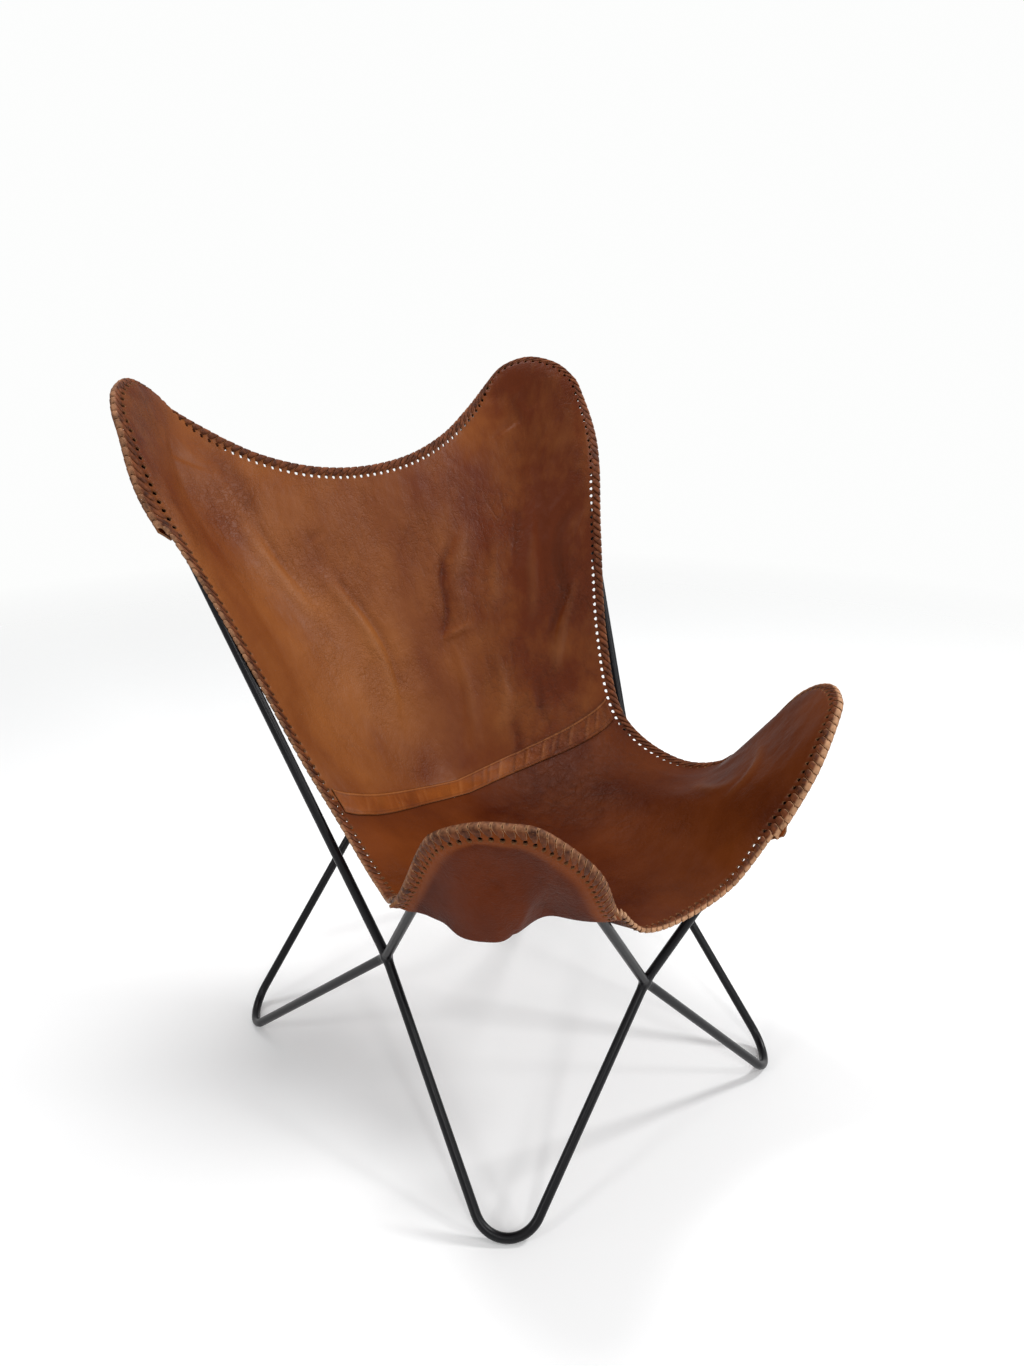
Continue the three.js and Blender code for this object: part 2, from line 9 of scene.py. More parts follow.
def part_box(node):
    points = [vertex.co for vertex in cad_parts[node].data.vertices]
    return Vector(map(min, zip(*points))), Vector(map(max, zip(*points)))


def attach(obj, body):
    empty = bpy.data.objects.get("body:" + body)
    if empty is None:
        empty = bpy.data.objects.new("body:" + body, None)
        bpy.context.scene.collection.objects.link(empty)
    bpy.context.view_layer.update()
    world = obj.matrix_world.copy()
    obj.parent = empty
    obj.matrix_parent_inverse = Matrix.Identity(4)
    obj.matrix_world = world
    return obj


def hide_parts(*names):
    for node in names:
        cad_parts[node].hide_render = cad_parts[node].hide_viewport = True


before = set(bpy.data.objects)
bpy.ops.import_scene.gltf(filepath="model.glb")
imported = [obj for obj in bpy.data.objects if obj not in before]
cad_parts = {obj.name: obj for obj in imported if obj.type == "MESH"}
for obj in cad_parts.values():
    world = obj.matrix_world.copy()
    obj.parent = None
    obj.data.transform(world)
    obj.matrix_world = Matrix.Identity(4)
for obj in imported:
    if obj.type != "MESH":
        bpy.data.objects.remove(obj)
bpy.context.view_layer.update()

scene = bpy.context.scene
mm = 0.001
mergeWithin = {"bars": 1e-7, "sheets": 1e-5, "cut": 1e-4}  # metres, or grid steps for the cut


def unitOf(a):
    return a / np.linalg.norm(a, axis=-1, keepdims=True)


def dot(a, b):
    return (a * b).sum(-1, keepdims=True)


def mix(a, b, share):
    return a + (b - a) * share


def ease(t):
    t = np.clip(t, 0, 1)
    return t * t * (3 - 2 * t)


def cubic(t, a, b, slopeA, slopeB):
    # From a to b, with the slopes given at its two ends
    return ((2 * t**3 - 3 * t**2 + 1) * a + (t**3 - 2 * t**2 + t) * slopeA
            + (3 * t**2 - 2 * t**3) * b + (t**3 - t**2) * slopeB)


# Rod frame, in millimetres
rods = {
    "diameter": 12, "sides": 32, "bendSteps": 26, "footBend": 40, "backBend": 65, "frontBend": 60,
    "footFlat": .4, "footTries": 30, "footSteps": 80,
    "weldSize": 8.2, "weldReach": 17, "weldSwell": 1.1, "weldTaper": .35, "weldSides": 24, "weldRings": 16,
    "weldGrain": 0.9, "filletRounds": 12, "liftSteps": 14, "sharpAngle": 50,
}
rodRadius = rods["diameter"] / 2
frontWeldLow = -278.28  # lowest y of the front weld before the chair is centred
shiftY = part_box("weld_front")[0][1] / mm - frontWeldLow
mirrorX = np.array([-1.0, 1.0, 1.0])
corner = {name: np.array(place, float) for name, place in {  # on the right, where straight legs would meet
    "backPeak": (403, 397, 1131), "frontPeak": (317, -366.5, 655),
    "sideNode": (228.4, -49.5, 255), "frontNode": (0, -269.6, 233.5), "backNode": (0, 256.5, 357),
    "frontFoot": (262, -315.2, 0), "backFoot": (288.2, 283.5, 0)}.items()}


class BentRod:
    # A rod from one weld round a bend to another weld
    def __init__(self, start, peak, end, radius):
        a, b = unitOf(start - peak), unitOf(end - peak)
        half = math.acos(float(a @ b)) / 2
        self.start, self.end, self.radius = start, end, radius
        self.axis, self.across = unitOf(a + b), unitOf(a - b)
        self.turn = math.pi / 2 - half
        self.centre = peak + self.axis * radius / math.sin(half)

    def bend(self, share, beyond=0.0):
        angle = np.asarray(share, float)[..., None] * self.turn
        reach = self.radius + beyond
        return self.centre - self.axis * reach * np.cos(angle) + self.across * reach * np.sin(angle)

    def line(self, steps):
        return np.vstack([self.start, self.bend(np.linspace(1, -1, steps + 1)), self.end])


def groundedFoot(foot, start, end):
    # Lowers a foot corner until its bend stands on the floor
    foot = foot.copy()
    places = np.linspace(1, -1, rods["footSteps"] + 1)
    for _ in range(rods["footTries"]):
        low = BentRod(start, foot, end, rods["footBend"]).bend(places)[:, 2].min()
        foot[2] += rodRadius - rods["footFlat"] - low
    return foot


hoops, feet = {}, {}
for side, flip in (("left", mirrorX), ("right", np.ones(3))):
    node = corner["sideNode"] * flip
    for end in ("back", "front"):
        far = corner[end + "Node"]
        hoops[end, side] = BentRod(node, corner[end + "Peak"] * flip, far, rods[end + "Bend"])
        foot = groundedFoot(corner[end + "Foot"] * flip, node, far)
        feet[end, side] = BentRod(node, foot, far, rods["footBend"])
legLines = []
for hoop in hoops.values():
    line = hoop.line(rods["liftSteps"])
    legLines += [line[:len(line) // 2 + 1], line[len(line) // 2:]]


# Sling surface: the same edge shares as the CAD source's
sling = {
    "backOverhang": 21, "frontOverhang": 24, "strip": 18, "thickness": 3, "rise": 1.95,
    "topDip": 130.4, "topBow": 20, "sideFlare": 33.6, "sideSlip": 38.5, "sideRise": 130,
    "frontLip": 61.4, "frontRise": 121.5, "frontEdgeBow": 17, "seatRise": 96.5, "seam": 0.5685,
    "hangCurve": 1.53, "sagCurve": 1.38, "archFade": 0.6,
    # Edges: shares of the way from the edge's middle or low place to its end, and of the front's bow
    "topEdge": [(0, 0, 0), (.304, .047, .08), (.582, .333, .309), (.811, .69, .649)],
    "sideBack": [(.979, .875, .833), (.523, .697, .582), (.136, .526, .298), (-.126, .313, .082),
                 (0, 0, 0)],
    "sideFront": [(.783, .584, .26)],
    "frontEdge": [(.76, .76, .706, 1), (.556, .556, .309, .35), (.312, .312, .067, -.092), (0, 0, 0, 0)],
    # Ears: place round the hoop's bend and share of the overhang, then which of the places is the tip
    "backEar": [(-.72, .75), (-.4, .9), (-.05, 1), (.3, 1), (.58, 1), (.86, 1)],
    "frontEar": [(1.08, 1), (.67, 1), (.25, 1), (-.1, 1), (-.45, 1)],
    "backTip": 3, "frontTip": 2,
    # Middle line: share along the side, share in y from the front to the top, share in z upwards
    "backLine": [(0, 1, 1), (.16, .915, .708), (.35, .807, .387), (.548, .677, .08), (.585, .625, .055),
                 (.66, .551, .024), (.77, .372, 0)],
    "seatLine": [(.885, .179, .2), (1, 0, 1)],
    "normalReach": .96, "normalFrom": .03, "normalStep": .01,
    "liftClear": .4, "liftSoft": 4, "liftRound": 50, "liftFlat": 7, "liftFall": 46, "liftFade": (30, 110),
    "liftHeight": 60,
    "pinch": 1.15, "pinchCells": 2,
}
# Cells of the lacing: one hole in each
cells = {"top": 72, "back": 50, "seat": 38, "front": 72, "backEar": (18, 17), "frontEar": (22, 18)}


def earRim(end):
    hoop, rows = hoops[end, "right"], []
    for turn, share in sling[end + "Ear"]:
        reach = sling[end + "Overhang"] * share
        strip = min(sling["strip"], reach - rodRadius - 2)
        rows.append((hoop.bend(turn, reach), hoop.bend(turn, reach - strip)))
    return rows


def edgeRim(start, end, table):
    rows = []
    for shares in table:
        point = mix(start, end, np.array(shares[:3]))
        if len(shares) > 3:
            point[1] -= sling["frontEdgeBow"] * shares[3]
        rows.append((point, None))
    return rows


backEarRim, frontEarRim = earRim("back"), earRim("front")
tipPoint = backEarRim[sling["backTip"]][0]
topCentre = np.array([0, tipPoint[1] + sling["topBow"], tipPoint[2] - sling["topDip"]])
frontCentre = corner["frontNode"] + [0, -sling["frontLip"], sling["frontRise"]]
sideLow = corner["sideNode"] + [sling["sideFlare"], -sling["sideSlip"], sling["sideRise"]]
rim = (edgeRim(topCentre, backEarRim[0][0], sling["topEdge"]) + backEarRim
       + edgeRim(sideLow, backEarRim[-1][0], sling["sideBack"])
       + edgeRim(sideLow, frontEarRim[0][0], sling["sideFront"]) + frontEarRim
       + edgeRim(frontCentre, frontEarRim[-1][0], sling["frontEdge"]))
halfLoop = np.array([point for point, _ in rim])
backTip = len(sling["topEdge"]) + sling["backTip"]
frontTip = len(rim) - len(sling["frontEdge"]) - len(sling["frontEar"]) + sling["frontTip"]


def closedLoop(half):
    return np.vstack([half, half[-2:0:-1] * mirrorX])


class EdgeCurve:
    # Even steps along a stretch of a closed curve through points
    def __init__(self, loop, start, end, samples=500):
        t = np.linspace(start, end, samples + 1)
        k = np.floor(t).astype(int)
        p0, p1, p2, p3 = (loop[(k + o) % len(loop)] for o in (-1, 0, 1, 2))
        self.points = cubic((t - k)[:, None], p1, p2, (p2 - p0) / 2, (p3 - p1) / 2)
        steps = np.linalg.norm(np.diff(self.points, axis=0), axis=1)
        self.length = steps.sum()
        self.shares = np.concatenate([[0], np.cumsum(steps)]) / self.length

    def at(self, share):
        return np.stack([np.interp(share, self.shares, self.points[:, k]) for k in range(3)], -1)


class Patch:
    # Surface over u (-1 left edge, 1 right edge) and v (0 top edge, 1 front edge)
    def __init__(self, half):
        loop = closedLoop(half)
        self.top = EdgeCurve(loop, 0, backTip)
        self.side = EdgeCurve(loop, backTip, frontTip)
        self.front = EdgeCurve(loop, len(half) - 1, frontTip)
        low = corner["frontNode"][2] + sling["seatRise"]
        self.rows = np.array([
            (run, mix(half[-1][1], half[0][1], y), mix(low, high, z))
            for line, high in (("backLine", half[0][2]), ("seatLine", half[-1][2]))
            for run, y, z in sling[line]])
        padded = np.pad(self.rows, ((1, 1), (0, 0)), "edge")
        across = padded[2:] - padded[:-2]
        self.slopes = across[:, 1:] / across[:, :1]

    def centre(self, v):
        i = np.clip(np.searchsorted(self.rows[:, 0], v, side="left") - 1, 0, len(self.rows) - 2)
        a, b = self.rows[i], self.rows[i + 1]
        step = (b - a)[..., :1]
        t = (v[..., None] - a[..., :1]) / step
        value = cubic(t, a[..., 1:], b[..., 1:], step * self.slopes[i], step * self.slopes[i + 1])
        return np.concatenate([np.zeros_like(t), value], -1)

    def hang(self, edge, reach):
        # A plain curve under an end edge, whose own arch fades out along the sling
        middle, end = edge.at(0.0), edge.at(1.0)
        curved = reach ** sling["hangCurve"]
        return middle + (end - middle) * np.stack([reach, curved, curved], -1)

    def at(self, u, v):
        u, v = np.broadcast_arrays(np.asarray(u, float), np.asarray(v, float))
        reach, across = np.abs(u), v[..., None]
        edge = self.side.at(v)
        ends = mix(self.top.at(1.0), self.front.at(1.0), across)
        topHang, frontHang = self.hang(self.top, reach), self.hang(self.front, reach)
        spot = mix(topHang, frontHang, across) + edge - ends
        for arch, away in ((self.top.at(reach) - topHang, v), (self.front.at(reach) - frontHang, 1 - v)):
            spot += arch * (np.cos(math.pi / 2 * np.minimum(away / sling["archFade"], 1)) ** 2)[..., None]
        spot[..., 0] += (reach - 1) * (edge - ends)[..., 0]
        middle = mix(self.top.at(0.0), self.front.at(0.0), across) + edge - ends
        fix = (self.centre(v) - middle) * (np.cos(math.pi / 2 * reach) ** sling["sagCurve"])[..., None]
        spot[..., 1:] += fix[..., 1:]
        spot[..., 0] *= np.where(u < 0, -1, 1)
        return spot

    def normal(self, u, v):
        reach, start, step = sling["normalReach"], sling["normalFrom"], sling["normalStep"]
        u, v = np.broadcast_arrays(np.clip(u, -reach, reach), np.clip(v, start, 1 - start))
        du = self.at(u + step, v) - self.at(u - step, v)
        dv = self.at(u, v + step) - self.at(u, v - step)
        return unitOf(np.cross(dv, du))


outer = Patch(halfLoop)


def innerHalf(width):
    loop, rows = closedLoop(halfLoop), []
    for i, (point, inside) in enumerate(rim):
        if inside is None:
            if i <= backTip:
                spot = (i / backTip, 0)
            elif i <= frontTip:
                spot = (1, (i - backTip) / (frontTip - backTip))
            else:
                spot = ((len(rim) - 1 - i) / (len(rim) - 1 - frontTip), 1)
            way = unitOf(loop[(i + 1) % len(loop)] - loop[i - 1])
            inside = point + unitOf(np.cross(way, outer.normal(*spot))) * width
            if i in (0, len(rim) - 1):
                inside[0] = 0
        rows.append(inside)
    return np.array(rows)


inner = Patch(innerHalf(sling["strip"]))
print("sling surface ready, edges", [round(c.length) for c in (outer.top, outer.side, outer.front)])


def nearestOn(line, p):
    # Closest spot on a polyline, and the line's direction there
    a, d = line[:-1], np.diff(line, axis=0)
    length = (d * d).sum(-1)
    t = np.clip(((p[:, None] - a) * d).sum(-1) / length, 0, 1)
    spots = a + d * t[..., None]
    apart = np.linalg.norm(p[:, None] - spots, axis=-1)
    best = apart.argmin(1)
    pick = np.arange(len(p))
    return spots[pick, best], unitOf(d[best]), apart[pick, best]


def liftOver(p, facing):
    # How far the leather stands off its rest surface to pass over the rods
    needed = rodRadius + sling["liftClear"] + sling["thickness"] / 2
    fadeFrom, fadeOver = sling["liftFade"]
    total = np.zeros(len(p))
    for line in legLines:
        spot, way, _ = nearestOn(line, p)
        gap = p - spot
        upward = facing - way * dot(facing, way)
        slant = np.linalg.norm(upward, axis=-1)
        height = dot(gap, facing)[:, 0]
        beside = np.sqrt(np.maximum((gap**2).sum(-1) - height**2, 0))
        need = (needed - dot(gap, upward)[:, 0] / slant) / slant - sling["rise"]
        need = (need + np.sqrt(need**2 + sling["liftSoft"])) / 2
        fall = np.exp(-(np.sqrt(beside**2 + sling["liftRound"]) - sling["liftFlat"]) / sling["liftFall"])
        fall = fall * (1 - ease((beside - fadeFrom) / fadeOver))
        total += np.where(np.abs(height) < sling["liftHeight"], need * fall, 0) ** 6
    return total ** (1 / 6)


# Folds: places along each as (u, v), then height and half width in millimetres
folds = [
    ([(.31, .145), (.235, .182), (.2, .223), (.215, .262), (.17, .305), (.13, .33)], -3.6, 6),
    ([(.37, .14), (.3, .19), (.265, .235), (.28, .27), (.23, .3)], 2.9, 13),
    ([(.12, .316), (.2, .309), (.34, .312)], 2, 6),
    ([(.86, .25), (.795, .298), (.8, .335), (.82, .367), (.775, .388), (.69, .415)], -4.7, 8),
    ([(.98, .235), (.915, .279), (.87, .311), (.82, .345)], 4.2, 5.5),
    ([(.9, .34), (.865, .363), (.8, .396), (.75, .428), (.68, .475)], 5.4, 7),
    ([(-.32, .16), (-.275, .178), (-.22, .224), (-.165, .294), (-.17, .368), (-.22, .44)], 4, 11),
    ([(-.26, .15), (-.17, .225), (-.11, .3), (-.12, .37), (-.16, .43)], -2.3, 9),
    ([(-.54, .1), (-.505, .143), (-.47, .188), (-.425, .234), (-.35, .28)], 3.4, 13),
    ([(-.47, .1), (-.43, .17), (-.36, .23)], -1.6, 9),
    ([(.4, .37), (.41, .398), (.425, .442), (.395, .475), (.31, .51)], 2.9, 8),
    ([(.2, .32), (.205, .339), (.235, .409), (.195, .487), (.17, .52)], 2.3, 9),
    ([(.93, .095), (.845, .136), (.76, .175)], 2.6, 5),
    ([(.96, .11), (.865, .15), (.78, .195)], -2.2, 5),
    ([(.89, .085), (.825, .125), (.74, .155)], -1.8, 5),
    ([(.94, .2), (.845, .235), (.74, .265)], 3, 5),
    ([(.96, .225), (.875, .258), (.78, .29)], -2.6, 5),
    ([(.74, .2), (.69, .26), (.66, .33), (.6, .4)], 2.4, 8),
    ([(.66, .17), (.6, .23), (.58, .3)], -2, 7),
    ([(.62, .45), (.58, .49), (.56, .53)], -2.6, 6),
    ([(.525, .16), (.475, .223), (.46, .288), (.39, .35)], 2.3, 12),
    ([(-.31, .128), (-.26, .115), (-.2, .097)], -1.3, 5),
    ([(-.6, .01), (-.56, .03), (-.465, .07), (-.46, .13)], -2.2, 16),
    ([(.45, .47), (.4, .53), (.36, .6)], -2.2, 8),
    ([(.4, .935), (.513, .95), (.607, .956), (.7, .962), (.8, .97)], 3.2, 6),
    ([(.5, .87), (.597, .885), (.72, .88), (.85, .85)], 3.2, 8),
    ([(.74, .76), (.65, .8), (.6, .84), (.66, .865)], 2.2, 9),
    ([(-.74, .93), (-.52, .82), (-.4, .72)], -2.9, 20),
    ([(-.5, .66), (-.3, .72), (-.1, .74)], 2.2, 16),
]
foldDetail = {"stepsPerPlace": 6, "smoothing": 3}


def smoothFold(values):
    # Finer steps between the places of a fold, each the mean of its neighbours
    reach = foldDetail["smoothing"]
    steps = np.linspace(0, len(values) - 1, foldDetail["stepsPerPlace"] * len(values))
    padded = np.pad(np.interp(steps, np.arange(len(values)), values), reach, "edge")
    window = 2 * reach + 1
    return np.convolve(padded, np.ones(window) / window, "valid")


foldLines = [(outer.at(*map(smoothFold, np.array(places).T)), *size) for places, *size in folds]


def foldRise(p):
    # Each fold is deepest half way along and fades out at its ends
    rise = np.zeros(len(p))
    for line, height, halfWidth in foldLines:
        steps = np.linalg.norm(np.diff(line, axis=0), axis=1)
        spot, _, apart = nearestOn(line, p)
        along = np.linalg.norm(spot - line[0], axis=-1) / steps.sum()
        rise += height * np.sin(math.pi * np.clip(along, 0, 1)) * np.exp(-(apart / halfWidth) ** 2)
    return rise


def stripBase(u, v, share):
    # A place between the inner loop (share 0) and the outer edge (share 1)
    return mix(inner.at(u, v), outer.at(u, v), np.asarray(share)[:, None])


def pastEar(u, v):
    # Cells along the edge past the nearer ear's lacing, negative within the ear
    isBack = v < sling["seam"]
    backEar, frontEar = cells["backEar"], cells["frontEar"]
    across = (1 - np.abs(u)) * cells["top"] / 2 - np.where(isBack, backEar[0], frontEar[0])
    down = np.where(isBack, v / sling["seam"] * cells["back"] - backEar[1],
                    (1 - v) / (1 - sling["seam"]) * cells["seat"] - frontEar[1])
    return np.maximum(across, down)


def sheetSpots(u, v, share, face=1, slack=0):
    # Middle of the leather on the sitter's side (1) or behind the rods (-1)
    base = stripBase(u, v, share)
    normal = inner.normal(u, v)
    if face > 0:
        base = base + normal * foldRise(base)[:, None]
    nearEar = 1 - ease((pastEar(u, v) + 1) / sling["pinchCells"])
    pinch = 1 - nearEar * (1 - ease(sling["pinch"] * (1 - np.maximum(share, 0))))
    pinch = np.where(share > 0, pinch, 1)
    lift = liftOver(base, normal * face) * pinch
    return base + normal * (face * (sling["rise"] + lift + slack))[:, None], normal, lift


def toWorld(points):
    return (np.asarray(points) + [0, shiftY, 0]) * mm


def finishMesh(bm, name, materials, smoothAngle=0):
    mesh = bpy.data.meshes.new(name)
    bm.to_mesh(mesh)
    bm.free()
    piece = bpy.data.objects.new(name, mesh)
    scene.collection.objects.link(piece)
    for material in materials:
        mesh.materials.append(material)
    mesh.shade_smooth()
    if smoothAngle:
        mesh.set_sharp_from_angle(angle=math.radians(smoothAngle))
    return piece


def placeVerts(bm, points):
    for vert, point in zip(bm.verts, toWorld(points).tolist()):
        vert.co = point


def gridSteps(bm, columns, rows):
    # Which column and row of a grid each vertex is in
    step = np.array([v.co[:2] for v in bm.verts])
    return (np.rint((step[:, 0] + 1) / 2 * columns).astype(int),
            np.rint((step[:, 1] + 1) / 2 * rows).astype(int))


def sweep(name, centres, ups, sides, ring, materials, smoothAngle, edgeShade=None):
    # Closed bars along lines of equal length: centres is (bars, stations, 3), ring (..., around, 2)
    bars, stations, around = ring.shape[:3]
    bm = bmesh.new()
    bmesh.ops.create_grid(bm, x_segments=around, y_segments=bars * stations - 1, size=1)
    layer = bm.verts.layers.float.new("rawEdge") if edgeShade is not None else None
    i, row = gridSteps(bm, around, bars * stations - 1)
    i, bar, j = i % around, row // stations, row % stations
    loose = [f for f in bm.faces if len({bar[v.index] for v in f.verts}) > 1]
    offset = ring[bar, j, i]
    placeVerts(bm, centres[bar, j] + sides[bar, j] * offset[:, :1] + ups[bar, j] * offset[:, 1:])
    if edgeShade is not None:
        for vert, shade in zip(bm.verts, edgeShade[j, i]):
            vert[layer] = shade
    bmesh.ops.delete(bm, geom=loose, context="FACES_ONLY")
    bmesh.ops.delete(bm, geom=[e for e in bm.edges if not e.link_faces], context="EDGES")
    bmesh.ops.remove_doubles(bm, verts=bm.verts, dist=mergeWithin["bars"])
    bmesh.ops.edgeloop_fill(bm, edges=[e for e in bm.edges if e.is_boundary])
    bmesh.ops.recalc_face_normals(bm, faces=bm.faces)
    return finishMesh(bm, name, materials, smoothAngle)


def frameAlong(line, up):
    # Two directions square to a line, which turn as little as can be
    tangent = unitOf(np.gradient(line, axis=0))
    ups = np.empty_like(line)
    current = np.array(up, float)
    for k, way in enumerate(tangent):
        current = unitOf(current - way * (current @ way))
        ups[k] = current
    return ups, np.cross(tangent, ups)


# Materials
class Wire:
    # A node's output, with arithmetic that adds Math nodes
    def __init__(self, finish, socket):
        self.finish, self.socket = finish, socket

    def maths(self, operation, *values):
        inputs = dict(enumerate(values or (self,)))
        return self.finish.node("ShaderNodeMath", {"operation": operation}, inputs)

    def __add__(self, other):
        return self.maths("ADD", self, other)

    def __sub__(self, other):
        return self.maths("SUBTRACT", self, other)

    def __rsub__(self, other):
        return self.maths("SUBTRACT", other, self)

    def __mul__(self, other):
        return self.maths("MULTIPLY", self, other)

    def between(self, low, high, newLow=0.0, newHigh=1.0):
        return self.finish.node("ShaderNodeMapRange", {"clamp": True}, {
            "Value": self, "From Min": low, "From Max": high, "To Min": newLow, "To Max": newHigh})


class Finish:
    # A material being wired up
    def __init__(self, name):
        self.material = bpy.data.materials.new(name)
        self.material.use_nodes = True
        self.tree = self.material.node_tree
        self.shader = self.tree.nodes["Principled BSDF"]
        self.place = self.node("ShaderNodeTexCoord", {}, {}, "Object")

    def node(self, kind, settings=None, values=None, output=0):
        node = self.tree.nodes.new(kind)
        for key, value in (settings or {}).items():
            setattr(node, key, value)
        for key, value in (values or {}).items():
            self.feed(node.inputs[key], value)
        return Wire(self, node.outputs[output])

    def feed(self, socket, value):
        if isinstance(value, Wire):
            self.tree.links.new(value.socket, socket)
        else:
            socket.default_value = value

    def noise(self, key):
        scale, detail, rough, *stretch = grains[key]
        place = self.place
        for scales in stretch:
            place = self.node("ShaderNodeMapping", {}, {"Vector": place, "Scale": scales})
        return self.node("ShaderNodeTexNoise", {}, {
            "Vector": place, "Scale": scale, "Detail": detail, "Roughness": rough})

    def attribute(self, name):
        return self.node("ShaderNodeAttribute", {"attribute_name": name}, {}, "Fac")

    def blend(self, share, a, b):
        return self.node("ShaderNodeMix", {"data_type": "RGBA"}, {0: share, 6: a, 7: b}, 2)

    def done(self, bumps, **values):
        # bumps: height, strength and depth in metres of each, from the coarsest to the finest
        normal = None
        for height, strength, distance in bumps:
            given = {"Height": height, "Strength": strength, "Distance": distance}
            if normal:
                given["Normal"] = normal
            normal = self.node("ShaderNodeBump", {}, given)
        if normal:
            self.feed(self.shader.inputs["Normal"], normal)
        for key, value in values.items():
            self.feed(self.shader.inputs[key.replace("_", " ")], value)
        return self.material


def tone(red, green, blue):
    # A colour given as it looks on a screen, from 0 to 255
    shares = [c / 255 for c in (red, green, blue)]
    return (*[((s + .055) / 1.055) ** 2.4 if s > .04 else s / 12.92 for s in shares], 1.0)


def darkened(colour, share):
    return tone(*(c * share for c in colour))


grains = {  # noises, from coarse to fine: scale, detail, roughness and, for streaks, stretch
    "cloud": (3.6, 4, .5), "area": (6.5, 3, .5), "streaks": (8, 4, .5, (1, 1, .3)), "haze": (14, 4, .5),
    "patchy": (15, 4, .5), "slack": (21, 3, .5, (1, 1, .45)), "longCrease": (26, 4, .55, (1, 1, .28)),
    "shortCrease": (58, 4, .55, (1.2, 1, .8)), "fine": (75, 3, .6, (1, 1, .13)), "fibre": (75, 4, .5),
    "hairCrease": (110, 4, .55, (1, 1, 1.6)), "strand": (240, 2, .5), "floor": (300, 2, .5),
    "speck": (300, 4, .7), "peel": (500, 2, .5), "rawFibre": (600, 4, .7), "laceGrain": (1300, 3, .5),
    "pores": (1500, 2, .5),
}
leathers = {  # deep tone, main tone, pale tone (for pull-up, worn lace rims and painted highlights), roughness, gloss
    "back_leather": ((88, 35, 8), (133, 77, 34), (166, 112, 70), .42, .1),
    "seat_leather": ((60, 18, 2), (98, 46, 14), (132, 82, 46), .44, .07),
    "band_leather": ((88, 36, 8), (147, 82, 30), (168, 108, 62), .45, .1),
    "pocket_leather": ((62, 17, 0), (98, 40, 8), (142, 74, 30), .45, .05),
    "lacing_leather": ((56, 26, 12), (108, 57, 28), (190, 144, 108), .58, .14),
}


creases = {"longCrease": (.05, .45), "shortCrease": (.05, .3), "hairCrease": (.06, .25)}  # width, strength
grainScale = 800


def leather(name, wrinkles=1.0):
    deep, main, pale, rough, gloss = leathers[name]
    f = Finish(name)
    patchy, slack, pores, shadingAndTone = *map(f.noise, ("patchy", "slack", "pores")), f.attribute("shadingAndTone")
    cellular = {"Vector": f.place, "Scale": grainScale}
    grain = f.node("ShaderNodeTexVoronoi", {"feature": "SMOOTH_F1"}, cellular)
    area = (f.noise("area") + shadingAndTone * .1).between(.42, .62)
    long, short, hair = ((f.noise(key) - .5).maths("ABSOLUTE").between(0, width) * strength
                         for key, (width, strength) in creases.items())
    worn = (long + short + hair - 1) * area + 1
    fine = (f.noise("fine") - .5) * shadingAndTone.between(0, 1, .1, .8)

    # Colour: clouds of the main tone, pulled-up places and painted highlights, then painted shade in
    # creases, folds and at the seam, then specks
    tint = f.noise("cloud") * .5 + patchy * .2 + f.noise("streaks") * .3 - shadingAndTone * .14 + fine * .3
    colour = f.blend(tint.between(.36, .62), tone(*deep), tone(*main))
    pullAndHighlight = f.attribute("pullAndHighlight") + (slack - .5) * .3
    colour = f.blend(pullAndHighlight.between(.05, 1, 0, .8), colour, tone(*pale))
    # Painted shade: in crease lines, from the vertex shade, and from the shading values of folds and
    # patches
    creaseShade = (1 - worn) * shadingAndTone.between(0, 1, .14, .36)
    dark = f.attribute("shade") * .7 + creaseShade + shadingAndTone.between(0, 1, 0, .3)
    colour = f.blend(dark.between(0, 1), colour, darkened(deep, .4))
    colour = f.blend(f.noise("speck").between(.64, .8, 0, .25), colour, darkened(deep, .6))
    bumps = [(slack, .45 * wrinkles, .008), (fine, .5, .003), (worn, .55 * wrinkles, .0012),
             (grain, .3, .0003), (pores, .2, .0002)]
    roughness = (patchy * .2 + grain * .1 + (rough - .15)).between(0, 1)
    return f.done(bumps, Base_Color=colour, Roughness=roughness, Specular_IOR_Level=gloss)


def rawEdge(name):
    # Cut edges of the leather: pale fibres
    f = Finish(name)
    fibre = f.noise("rawFibre")
    colour = f.blend(fibre.between(.3, .7), tone(84, 48, 26), tone(150, 104, 68))
    return f.done([(fibre, .5, .0004)], Base_Color=colour, Roughness=.8, Specular_IOR_Level=.2)


def laceLeather(name):
    # Narrow strands, worn pale where the attribute rawEdge says so
    deep, main, pale, rough, gloss = leathers["lacing_leather"]
    f = Finish(name)
    fibre, grain, strand = f.noise("fibre"), f.noise("laceGrain"), f.noise("strand")
    colour = f.blend((fibre * .6 + strand * .4).between(.36, .62), tone(*deep), tone(*main))
    worn = f.attribute("rawEdge") * (fibre + strand) + (grain - .5) * .2
    colour = f.blend(worn.between(.2, .95, 0, .9), colour, tone(*pale))
    return f.done([(strand, .3, .0006), (grain, .3, .0003)], Base_Color=colour,
                  Roughness=fibre * .2 + (rough - .1), Specular_IOR_Level=gloss)


def paint(name):
    # Satin black stove enamel with a faint orange peel
    f = Finish(name)
    peel, haze = f.noise("peel"), f.noise("haze")
    colour = f.blend(haze.between(.3, .7), tone(5, 4, 8), tone(13, 12, 16))
    return f.done([(peel, .1, .0002)], Base_Color=colour, Roughness=haze * .14 + .28,
                  Specular_IOR_Level=.27)


backFinish, seatFinish = leather("back_leather"), leather("seat_leather")
bandFinish, pocketFinish = leather("band_leather", 1.6), leather("pocket_leather", .8)
edgeFinish, laceFinish = rawEdge("raw_edge"), laceLeather("lacing_leather")
paintFinish = paint("frame_paint")
print("materials ready")

